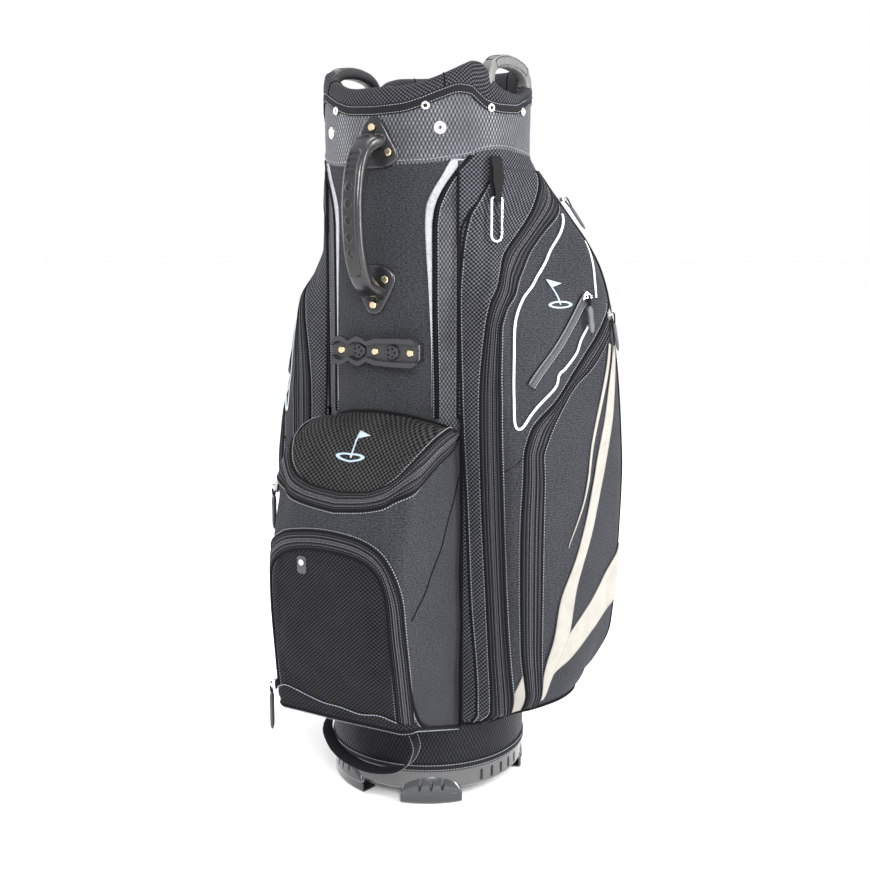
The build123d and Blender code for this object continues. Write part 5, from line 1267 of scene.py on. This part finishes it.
LS = Band(lid_fn, ref=(0, -110, 380))
a3 = np.linspace(-199, 199, 130); b3 = np.linspace(0, 1, 60)
A, Bb = np.meshgrid(a3, b3, indexing="ij")
P = LS.at(A, Bb); N = LS.nrm(A, Bb); P = P + N * (wobble(P, 70, 41) * 0.5 * np.sin(math.pi * Bb))[..., None]
m = Mesh(); m.grid(P, np.stack([P[..., 0], P[..., 2] * 1.25], -1), N=N)
edge = np.minimum((200 - np.abs(A)) * 0.45, np.minimum(Bb, 1 - Bb) * 100.0)
m.make("lid_mesh", MESH_LID, LID_BLEND, "mesh_fabric", ["upper_pocket_lid"], thick=3.0, padded=0.6, sim=(1 - smoothstep(edge, 2.0, 18.0), 2.5, 3.5))
LID_MOVE = m.moved.reshape(A.shape + (3,)) if m.moved.size == A.size * 3 else np.zeros(A.shape + (3,))


def lid_move(aa_, bb_):
    """How far the simulation moved the lid's cloth there."""
    u_ = np.clip((np.asarray(aa_, float) + 199) / 398, 0, 1) * (len(a3) - 1.001); w_ = np.clip(np.asarray(bb_, float), 0, 1) * (len(b3) - 1.001)
    i_, j_ = u_.astype(int), w_.astype(int); fu, fw = (u_ - i_)[..., None], (w_ - j_)[..., None]
    return ((LID_MOVE[i_, j_] * (1 - fu) + LID_MOVE[i_ + 1, j_] * fu) * (1 - fw) + (LID_MOVE[i_, j_ + 1] * (1 - fu) + LID_MOVE[i_ + 1, j_ + 1] * fu) * fw)

m = Mesh(); st = Mesh()
edge_line(LS, a3, np.full_like(a3, 0.01), m, st, r=2.0, up=1.0, offs=(-3.4,))
m.make("lid_seam_piping", PIPING, "bag", "binding_tape", recalc=True); st.make("lid_seam_stitch", THREAD_DARK, "bag", "binding_tape")


def lid_near(x, y):
    aa_ = x * 1.45; bb_ = 0.50 - y / 105.0
    return LS.at(aa_, bb_) + lid_move(aa_, bb_), LS.nrm(aa_, bb_)


pictogram(lid_near, 19, 0.9, "mark_lid", LID_BLEND)

# white disc on the rubber tab
m = Mesh(); th_ = np.linspace(0, 2 * math.pi, 33)[:-1]
for r0, r1, y0, y1 in ((0.0, 3.5, -221.9, -221.9),):
    rr = np.linspace(0.05, 3.5, 5); hh = np.array([0.5, 0.5, 0.45, 0.3, 0.0])
    P = np.stack([-38 + rr[None] * np.cos(th_)[:, None], np.broadcast_to((-221.35 - hh)[None], (32, 5)), 316 + rr[None] * np.sin(th_)[:, None]], -1)
    m.grid(P, None, N=np.broadcast_to([0, -1.0, 0], P.shape), wrap=True)
m.make("tab_disc", WHITE, "ball_door", thick=0.4)

# ------------------------------------------------------------------ carry handle
OUT = np.array([(-126.1, 784), (-140, 781), (-156, 768), (-167, 748), (-173, 720), (-174, 694), (-171, 664), (-163, 638), (-150, 618), (-136, 608), (-126.1, 605)], float)
INN = np.array([(-126.1, 769), (-135, 766), (-145, 757), (-154, 740), (-159, 718), (-160, 694), (-158, 672), (-153, 650), (-145, 634), (-134, 623), (-126.1, 618)], float)
oo, ii = catmull_raw(OUT), catmull_raw(INN)
mid = (oo + ii) / 2; thk = np.linalg.norm(oo - ii, axis=1)
mid = np.vstack([[-121.5, mid[0, 1] + 2.0], mid, [-121.5, mid[-1, 1] - 2.0]]); thk = np.r_[thk[0] + 4, thk, thk[-1] + 4]
dd = np.r_[0, np.cumsum(np.linalg.norm(np.diff(mid, axis=0), axis=1))]
sN = np.linspace(0, dd[-1], 150)
cy, cz, tk = np.interp(sN, dd, mid[:, 0]), np.interp(sN, dd, mid[:, 1]), np.interp(sN, dd, thk)
path = np.column_stack([0 * cy, cy, cz]); tg = unit(np.gradient(path, axis=0)); nr = np.column_stack([0 * cy, tg[:, 2], -tg[:, 1]])
nr = nr * np.sign(np.sum(nr * (path - [0, -100, 694]), -1, keepdims=True))
f = sN / sN[-1]; flare = 1 + 0.42 * (1 - smoothstep(f, 0.0, 0.14)) + 0.30 * smoothstep(f, 0.86, 1.0)
m = Mesh(); k = 20; pr = []
for i in range(k):
    t_ = 2 * math.pi * i / k; c_, s__ = math.cos(t_), math.sin(t_)
    pr.append((12.5 * math.copysign(abs(c_) ** 0.62, c_), 0.5 * math.copysign(abs(s__) ** 0.62, s__)))
m.sweep(path, nr, pr, scale=np.column_stack([flare, tk]))
m.make("carry_handle_bow", HANDLE, "bag", "handle_plastic", ["carry_handle"], recalc=True)
# rubber insert with four slots and five dimples
i0, i1 = np.searchsorted(f, 0.155), np.searchsorted(f, 0.80)
ss = np.linspace(sN[i0], sN[i1], 260); pc = np.column_stack([np.interp(ss, sN, path[:, j]) for j in range(3)]); nc = unit(np.column_stack([np.interp(ss, sN, nr[:, j]) for j in range(3)])); tc = np.interp(ss, sN, tk)
xs = np.linspace(-8.2, 8.2, 46); S_, X_ = np.meshgrid(ss - ss[0], xs, indexing="ij"); Ls = ss[-1] - ss[0]
edge_ = np.minimum(np.minimum((8.2 - np.abs(X_)) / 1.2, S_ / 1.4), (Ls - S_) / 1.4); hgt = 1.0 * np.clip(edge_, 0, 1) ** 0.5
round_end = np.clip((8.2 - np.hypot(X_, np.minimum(0, np.minimum(S_ - 8.2, Ls - 8.2 - S_)))) / 1.0, 0, 1); hgt *= round_end ** 0.5
for s0 in (7, 13.5, 20, 26.5):
    hgt -= 2.0 * smoothstep(2.0 - np.abs(S_ - s0), 0, 0.9) * smoothstep(6.6 - np.abs(X_), 0, 0.9)
for j in range(5):
    rr = np.hypot(S_ - (41 + j * 17.2), X_); hgt -= 1.9 * smoothstep(3.9 - rr, 0, 1.4); hgt += 0.5 * np.exp(-((rr - 4.6) / 0.8) ** 2)
P = pc[:, None] + nc[:, None] * ((tc / 2)[:, None] + hgt + 0.25)[..., None] + np.array([1.0, 0, 0]) * X_[..., None]
m = Mesh(); m.grid(P, np.stack([S_, X_], -1), N=np.broadcast_to(nc[:, None], P.shape)); m.make("carry_handle_insert", RUBBER, "bag", "handle_rubber", ["handle_grip_insert"], thick=2.6)


def plate(name, outline, centre, hgts, scoop=None):
    p = np.array(outline + outline[:1], float)[:-1]
    cl = np.vstack([p, p[:3]]); cr = catmull_raw(cl); n1 = 24
    cr = cr[n1:n1 * (len(p) + 1)]
    m_ = Mesh(); P_ = []
    for sc_, h in hgts:
        q_ = np.array(centre) + (cr - np.array(centre)) * sc_
        hh_ = np.full(len(q_), h)
        if scoop is not None and sc_ < 0.93:
            cxs, czs, rx, rz, dp = scoop
            hh_ = hh_ - dp * smoothstep(1.15 - np.hypot((q_[:, 0] - cxs) / rx, (q_[:, 1] - czs) / rz), 0, 0.5)
        ang_ = q_[:, 0] / 121.2; rad = 121.1 + hh_
        P_.append(np.column_stack([rad * np.sin(ang_), -rad * np.cos(ang_), q_[:, 1]]))
    P_ = np.stack(P_, 1)
    m_.grid(P_, None, N=unit(P_ * [1, 1, 0]), wrap=True)
    return m_


hg = [(1.0, 0.1), (1.0, 1.6), (0.985, 2.9), (0.955, 3.8), (0.90, 4.3), (0.82, 4.4), (0.7, 4.4), (0.55, 4.4), (0.4, 4.4), (0.25, 4.4), (0.1, 4.4), (0.01, 4.4)]
top_out = [(0, 803.5), (9, 800.5), (15.5, 791), (22, 779), (28.5, 767), (29, 758), (22, 751), (10, 748), (-10, 748), (-22, 751), (-29, 758), (-28.5, 767), (-22, 779), (-15.5, 791), (-9, 800.5)]
low_out = [(0, 586.5), (8, 589), (14, 599), (21, 612), (25.5, 624), (23, 634), (12, 641.5), (0, 642.5), (-12, 641.5), (-23, 634), (-25.5, 624), (-21, 612), (-14, 599), (-8, 589)]
m1 = plate("t", top_out, (0, 772), hg, (0, 783, 9, 9, 1.2)); ob = m1.make("handle_plate_top", HANDLE, "bag", "handle_plastic", ["handle_end_plates"], thick=1.2)
m1 = plate("l", low_out, (0, 617), hg, (0, 603, 7, 7, 1.0)); m1.make("handle_plate_low", HANDLE, "bag", "handle_plastic", thick=1.2)

# bracket's back, shaped to the barrel
x, z = np.meshgrid(np.linspace(-54, 55, 60), np.linspace(535.5, 554.5, 8), indexing="ij")
m = Mesh(); yo = np.full_like(x, -121.4); yi = -np.sqrt(121.4 ** 2 - x ** 2)
Po = np.stack([x, yo, z], -1); Pi = np.stack([x, np.maximum(yi, yo + 0.5), z], -1)
i_o = m.grid(Po, None, N=np.broadcast_to([0, -1.0, 0], Po.shape)); i_i = m.grid(Pi, None, N=np.broadcast_to([0, 1.0, 0], Po.shape))
for ra, rb in ((i_o[:, 0], i_i[:, 0]), (i_o[:, -1], i_i[:, -1]), (i_o[0], i_i[0]), (i_o[-1], i_i[-1])):
    qd = np.stack([ra[:-1], ra[1:], rb[1:], rb[:-1]], -1); m.q.append(qd); m.quv.append(np.zeros((len(qd), 4, 2))); m.qm.append(np.zeros(len(qd), int))
m.make("bracket_back", HANDLE, "bag", "handle_plastic", recalc=True)

# ------------------------------------------------------------------ lift handles
for sg, side in ((1, "right"), (-1, "left")):
    ctr = np.array([(-49.5, 832), (-49.5, 846), (-47, 855), (-40, 862), (-26, 867.2), (0, 869.6), (26, 867.2), (40, 862), (47, 855), (49.5, 846), (49.5, 832)], float)
    c2 = even(catmull_raw(ctr), 1.0)
    path = np.column_stack([np.full(len(c2), sg * 103.6), c2[:, 0], c2[:, 1]]); tg = unit(np.gradient(path, axis=0)); nr = np.cross(tg, np.array([1.0, 0, 0])); nr = nr * np.sign(np.sum(nr * (path - [sg * 103.6, 0, 830]), -1, keepdims=True))
    L_ = len(path); sI = np.arange(L_) / (L_ - 1)
    up_ = np.ones(L_)
    for c0 in (0.30, 0.43, 0.57, 0.70):
        up_ -= 0.10 * np.exp(-((sI - c0) / 0.010) ** 2)
    pr = []; k = 24
    for i in range(k):
        t_ = 2 * math.pi * i / k; c_, s__ = math.cos(t_), math.sin(t_)
        pr.append((7.2 * math.copysign(abs(c_) ** 0.6, c_), 7.2 * math.copysign(abs(s__) ** 0.55, s__) - (0.9 if s__ > 0.75 and abs(c_) < 0.5 else 0)))
    m = Mesh(); m.sweep(path, nr, pr, scale=np.column_stack([1 + 0.10 * np.cos((sI - .5) * math.pi) ** 4, up_]))
    m.make(f"lift_grip_{side}", [GRIP, RUBBER], "bag", "moulded_plastic", [f"lift_handle_{side}"], recalc=True)
    for poly in bpy.data.objects[f"lift_grip_{side}"].data.polygons:
        if poly.normal.x * sg < -0.3:                     # painted shade: the inward face takes the dark rubber for the side turned away from the light
            poly.material_index = 1
    # painted shade: the grip's grooves are drawn as near-black cords
    m = Mesh(); ax_ = np.array([1.0, 0, 0])
    for lo_, hi_ in ((0.22, 0.36), (0.375, 0.49), (0.51, 0.625), (0.64, 0.78)):
        for tilt_ in (0.0, 1.0):
            i0_, i1_ = int(lo_ * L_), int(hi_ * L_)
            c0_ = path[i0_:i1_]; n0_ = nr[i0_:i1_]
            if tilt_:
                a0_, b0_ = c0_ + n0_ * 4.6 + ax_ * (sg * 7.25), c0_ - n0_ * 4.2 + ax_ * (sg * 7.25)
                nn_ = np.broadcast_to(ax_ * sg, c0_.shape)
            else:
                a0_, b0_ = c0_ + n0_ * 6.55 + ax_ * 4.6, c0_ + n0_ * 6.55 - ax_ * 4.6
                nn_ = n0_
            loop_ = np.vstack([a0_, a0_[-1] + (b0_[-1] - a0_[-1]) * np.linspace(0.12, 0.88, 6)[:, None], b0_[::-1], b0_[0] + (a0_[0] - b0_[0]) * np.linspace(0.12, 0.88, 6)[:, None]])
            no_ = np.vstack([nn_, np.repeat(nn_[-1:], 6, 0), nn_[::-1], np.repeat(nn_[:1], 6, 0)])
            m.pill(loop_, no_, 0.42, closed=True, sides=6)
    m.make(f"grip_grooves_{side}", SHADE_FILL, "bag", "moulded_plastic", recalc=True)

# ------------------------------------------------------------------ dividers
def rail(p0, p1, name, low=0.0, wd=9.2):
    p = np.array([p0, p1], float); n_ = 40; q_ = np.linspace(0, 1, n_)
    pts = p[0] + (p[1] - p[0]) * q_[:, None]; pts[:, 2] += 0.8 * np.sin(math.pi * q_) - low
    up = np.broadcast_to([0, 0, 1.0], pts.shape)
    m_ = Mesh(); pr_ = [(wd / 2 * math.copysign(abs(math.cos(t_)) ** 0.75, math.cos(t_)), 8.0 * math.copysign(abs(math.sin(t_)) ** 0.8, math.sin(t_))) for t_ in np.linspace(0, 2 * math.pi, 19)[:-1]]
    m_.sweep(pts, up, pr_, scale=1 + 0.025 * np.sin(q_ * 21 + pts[0, 1]))
    return m_


def chord(y, r):
    return math.sqrt(r * r - y * y)


m = Mesh()
for y in (-52, 0, 52):
    h = chord(abs(y) + 4.5, 105.5)
    r_ = rail((-h, y, 830), (h, y, 830), "w")
    base = m.add(np.vstack(r_.v))
    for q_, w_, mm_ in zip(r_.q, r_.quv, r_.qm): m.q.append(q_ + base); m.quv.append(w_); m.qm.append(mm_)
    for q_, w_, mm_ in zip(r_.t, r_.tuv, r_.tm): m.t.append(q_ + base); m.tuv.append(w_); m.tm.append(mm_)
m.make("divider_pads_wide", DIVIDER, "bag", "divider_fabric", ["divider_rails_wide"], recalc=True, padded=0.6)
SHORT = []
for x in (-30, 30):
    e_ = chord(abs(x) + 4.5, 105.5); SHORT += [(x, -e_, -56.0), (x, 56.0, e_)]
for x in (-52, 0, 52):
    SHORT += [(x, -48.0, -4.0), (x, 4.0, 48.0)]
m = Mesh()
for x, y0, y1 in SHORT:
    r_ = rail((x, y0, 829.5), (x, y1, 829.5), "s", low=0.6, wd=8.6)
    base = m.add(np.vstack(r_.v))
    for q_, w_, mm_ in zip(r_.q, r_.quv, r_.qm): m.q.append(q_ + base); m.quv.append(w_); m.qm.append(mm_)
    for q_, w_, mm_ in zip(r_.t, r_.tuv, r_.tm): m.t.append(q_ + base); m.tuv.append(w_); m.tm.append(mm_)
m.make("divider_pads_short", DIVIDER, "bag", "divider_fabric", ["divider_rails_short"], recalc=True, padded=0.6)


def wall(m_, a0, b0, a1, b1, amp=0.9, seed=0):
    q_, z_ = np.meshgrid(np.linspace(0, 1, 26), np.linspace(25.5, 822, 80), indexing="ij")
    P_ = np.stack([a0 + (a1 - a0) * q_, b0 + (b1 - b0) * q_, z_], -1); n_ = unit(np.array([-(b1 - b0), a1 - a0, 0.0]))
    P_ = P_ + n_ * (amp * np.sin(q_ * math.pi) * np.sin(z_ / 57.0 + seed + q_ * 3))[..., None]
    m_.grid(P_, None, N=np.broadcast_to(n_, P_.shape))


m = Mesh()
for i, y in enumerate((-52, 0, 52)):
    h = chord(abs(y) + 1, 107.5); wall(m, -h, y, h, y, seed=i)
m.make("divider_cloth_wide", LINER, "bag", "divider_fabric", ["divider_walls_wide"], thick=1.8, offset=0.0)
m = Mesh()
for i, (x, y0, y1) in enumerate(SHORT):
    wall(m, x, y0 + (1.5 if abs(y0) < 80 else 0), x, y1 - (1.5 if abs(y1) < 80 else 0), amp=0.5, seed=i)
m.make("divider_cloth_short", LINER, "bag", "divider_fabric", ["divider_walls_short"], thick=1.8, offset=0.0)
# crowned pad on the floor of the wells
m = Mesh(); rr = np.linspace(0.5, 108, 26); th_ = np.linspace(0, 2 * math.pi, 97)[:-1]
P = np.stack([rr[None] * np.sin(th_)[:, None], -rr[None] * np.cos(th_)[:, None], np.broadcast_to(24.6 - 0.9 * (rr / 108) ** 4, (96, 26))], -1)
m.grid(P, None, N=np.broadcast_to([0, 0, 1.0], P.shape), wrap=True); m.make("floor_cushion", LINER, "bag", "liner", ["floor_pad"], thick=3.5, padded=0.4)

# ------------------------------------------------------------------ feet
m = Mesh(); dk = Mesh()
for a0 in (31, -31, 128, -128):
    na, nz = 150, 100
    A, Z = np.meshgrid(np.linspace(-18, 18, na), np.linspace(0.0, 39.5, nz), indexing="ij")
    R_ = np.full_like(A, 119.4)
    # pad at the floor, a step, then the dome leaning back to the ring
    span = np.clip(1 - (A / 17.6) ** 2, 0, 1)
    top = 15 + 22.5 * span ** 0.42
    up_ = np.clip((Z - 13.5) / np.maximum(top - 13.5, 1.5), 0, 1)
    dome = 123.4 - 6.2 * up_ ** 2.2 - 1.6 * (1 - span) - 0.8 * (1 - smoothstep(Z, 12.8, 15.0))
    R_ = np.where(Z > top, 117.2, dome)
    pad = 120.6 - 1.8 * (1 - smoothstep(Z, 0, 2.6))
    R_ = pad + (R_ - pad) * smoothstep(Z, 11.8, 14.2)
    slit = np.zeros_like(A)
    for c0 in (-6.4, 0.0, 6.4):
        w_ = 0.95 * np.sqrt(np.clip(1 - ((Z - 25.0) / 7.4) ** 2, 0, 1))
        slit = np.maximum(slit, smoothstep(w_ - np.abs(A - c0 - (Z - 25.0) * (0.07 if a0 > 0 else -0.07)), 0, 0.5))
    R_ = R_ - 3.2 * slit
    t_ = np.radians(A + a0)
    P = np.stack([R_ * np.sin(t_), -R_ * np.cos(t_), Z], -1)
    keepf = np.broadcast_to(True, (na - 1, nz - 1))
    m.grid(P, np.stack([np.radians(A) * 120, Z], -1), N=unit(P * [1, 1, 0]))
    # underside
    rr = np.linspace(0, 1, 12)[None]; Pu = P[:, :1] * (1 - rr[..., None]) + P[:, :1] * [97 / 117.6, 97 / 117.6, 1] * rr[..., None]
    m.grid(Pu, None, N=np.broadcast_to([0, 0, -1.0], Pu.shape))
m.make("feet_domes", PEARL, "bag", "pearl_plastic", ["base_feet"], thick=2.0)

# ------------------------------------------------------------------ webbing: lower loop and towel loop
U = np.array([(-55.5, 104.5), (-61.5, 93), (-62.2, 80.5), (-52.5, 63.3), (-35, 51.6), (-10, 45.7), (13.5, 46.7), (37, 53.5), (52.5, 66), (60.3, 82.5), (60, 92), (54.5, 104.5)], float)
c2 = even(catmull_raw(U), 2.0)
path = np.column_stack([c2[:, 0], -138.5 + 1.5 * np.sin(np.linspace(0, math.pi, len(c2))), c2[:, 1]]); tg = unit(np.gradient(path, axis=0)); nr = np.cross(tg, np.array([0, 1.0, 0])); nr = nr * np.sign(np.sum(nr * (path - [0, -138.5, 100]), -1, keepdims=True))
m = Mesh(); m.sweep(path, nr, rrect(20.0, 1.9, 0.85)); m.make("strap_webbing", WEBBING, "strap", "webbing", ["lower_strap"], recalc=True)
m = Mesh()
for o in (-8.2, 8.2):
    m.stitches(path + nr * 0.95, nr, off=o, up=0.15, pitch=3.4)
m.make("strap_stitch", THREAD_DARK, "strap", "binding_tape")

ta = math.radians(66); er = np.array([math.sin(ta), -math.cos(ta), 0]); et = np.array([math.cos(ta), math.sin(ta), 0])
lp_ = np.array([(125.6, 762), (125.9, 745), (125.9, 728), (126.1, 717), (127.1, 713.9), (129.0, 712.9), (130.9, 713.9), (131.8, 717), (131.9, 728), (131.2, 745), (127.5, 760)], float)
c2 = even(catmull_raw(lp_), 1.2)
path = er[None] * c2[:, :1] + np.array([0, 0, 1.0])[None] * c2[:, 1:]; wds = 7.8 - 3.4 * smoothstep(736 - c2[:, 1], 0, 16)
tg = unit(np.gradient(path, axis=0)); nr = np.cross(tg, et); nr = nr * np.sign(np.sum(nr * (path - er * 129 - [0, 0, 735]), -1, keepdims=True))
m = Mesh(); m.sweep(path, nr, [(x_ / 7.5, y_) for x_, y_ in rrect(15, 1.3, 0.6)], scale=np.column_stack([wds, np.ones(len(wds))]))
m.make("towel_loop_webbing", WEBBING, "bag", "webbing", ["towel_loop"], recalc=True)

# ------------------------------------------------------------------ zip pulls
ZIPS = {
    "ball": ((-92.5, -199.0, 156.0), (-1, -0.2, 0), (0, 0, 1), 6.4, (0, 0, -1), 56),
    "lid": ((-92.5, -186.0, 390.0), (-1, -0.2, 0), (0, 0.66, 0.75), 6.4, (0, 0, -1), 50),
    "side": ((149.5, 57.0, 714.0), (0.80, 0.2, 0.56), (0.0, 0.76, 0.65), 6.4, (0.53, 0.18, -0.83), 42),
    "garment": ((207.2, 66.0, 582.0), (0.97, 0.16, 0.18), (0.02, 0.71, 0.70), 6.4, (0.17, 0.05, -0.98), 44),
    "door": ((192.6, 30.7, 603.3), (0.87, -0.44, 0.22), (0.146, 0.6585, 0.738), 6.4, (0.2, 0, -0.98), 42),
}
for key, (p, out, run, pin, down, length) in ZIPS.items():
    for sg, suf in (((1, "_right"), (-1, "_left")) if key in ("side", "garment", "door") else ((1, ""),)):
        mir = np.array([sg, 1, 1.0])
        z = unit(np.array(out, float)); flat = unit(np.array([-z[1], z[0], 0])); o = np.array(p) + z * pin
        d = unit(np.array(down, float)); d = unit(d - flat * (d @ flat)); aw = np.cross(flat, d); aw = aw if aw @ z > 0 else -aw
        m = Mesh()
        arc = [(12.5, 0.55), (7, 1.25), (2.5, 1.75)] + [(1.75 * math.sin(t_), 1.75 * math.cos(t_)) for t_ in np.linspace(0, -math.pi, 9)] + [(2.5, -1.75), (7, -1.25), (12.5, -0.55)]
        cv = even(catmull_raw(np.array(arc, float)), 0.6)
        for ac in (-0.95, 0.95):
            pth = o + d * cv[:, :1] + aw * cv[:, 1:] + flat * ac
            m.pill(pth * mir, np.broadcast_to(flat * mir, pth.shape), 0.78, sides=8)
        ss = np.linspace(9.5, length, 44); hw = pchip(ss, [9.5, 11, 16, length * 0.55, length - 8, length - 2, length], [1.2, 2.2, 4.4, 3.9, 4.2, 3.1, 1.2])
        ht = pchip(ss, [9.5, 12, 20, length - 6, length], [1.0, 1.5, 1.75, 1.55, 0.6]) * (1 + 0.10 * np.sin(ss * 2.4) * smoothstep(ss, 20, 24) * (1 - smoothstep(ss, length - 12, length - 8)))
        pth = o + d * ss[:, None]
        prf = [(math.copysign(abs(math.cos(t_)) ** 0.6, math.cos(t_)), math.copysign(abs(math.sin(t_)) ** 0.6, math.sin(t_))) for t_ in np.linspace(0, 2 * math.pi, 19)[:-1]]
        m.sweep(pth * mir, np.broadcast_to(aw * mir, pth.shape), prf, mat=1, scale=np.column_stack([hw, ht]))
        m.make(f"pull_{key}{suf}", [WEBBING, PULL_RUBBER], f"{key}_pull{suf}", "pull_rubber", [f"{key}_zip_pull{suf}"], recalc=True)

# ------------------------------------------------------------------ stage
def plane(name, size, z):
    me = bpy.data.meshes.new(name); s = size / 2
    me.from_pydata([(-s, -s, z), (s, -s, z), (s, s, z), (-s, s, z)], [], [(0, 1, 2, 3)]); ob = bpy.data.objects.new(name, me); bpy.context.scene.collection.objects.link(ob)
    return ob


floor = plane("floor", 400, -0.0002)
fm = Nodes("floor_pale", (0.99, 0.99, 0.99), 0.9, spec=0.5); f_ = fm.noise(3, 3, 0.5); fm.color(fm.mix(f_, (0.99, 0.99, 0.99), (1.0, 1.0, 1.0)))
floor.data.materials.append(fm.m)
w = bpy.data.worlds.new("studio"); bpy.context.scene.world = w; w.use_nodes = True
w.node_tree.nodes["Background"].inputs[0].default_value = (1, 1, 1, 1); w.node_tree.nodes["Background"].inputs[1].default_value = 1.0


def area(name, loc, target, size, power, color=(1, 1, 1)):
    l = bpy.data.lights.new(name, "AREA"); l.shape = "RECTANGLE"; l.size, l.size_y = size; l.energy = power; l.color = color
    ob = bpy.data.objects.new(name, l); bpy.context.scene.collection.objects.link(ob); ob.location = loc
    ob.rotation_mode = "QUATERNION"; ob.rotation_quaternion = (Vector(target) - Vector(loc)).to_track_quat("-Z", "Y")
    return ob


area("key", (1.5, -2.2, 1.9), (0, 0, 0.5), (0.6, 1.2), 84)
area("side", (2.2, 0.5, 1.1), (0, 0, 0.5), (0.35, 1.8), 64)
area("left", (-2.1, -0.5, 1.2), (0, 0, 0.45), (0.35, 1.8), 34)
area("top", (0.1, 0.5, 2.6), (0, 0, 0.6), (1.0, 1.0), 24)
bpy.context.scene.view_settings.view_transform = "Standard"
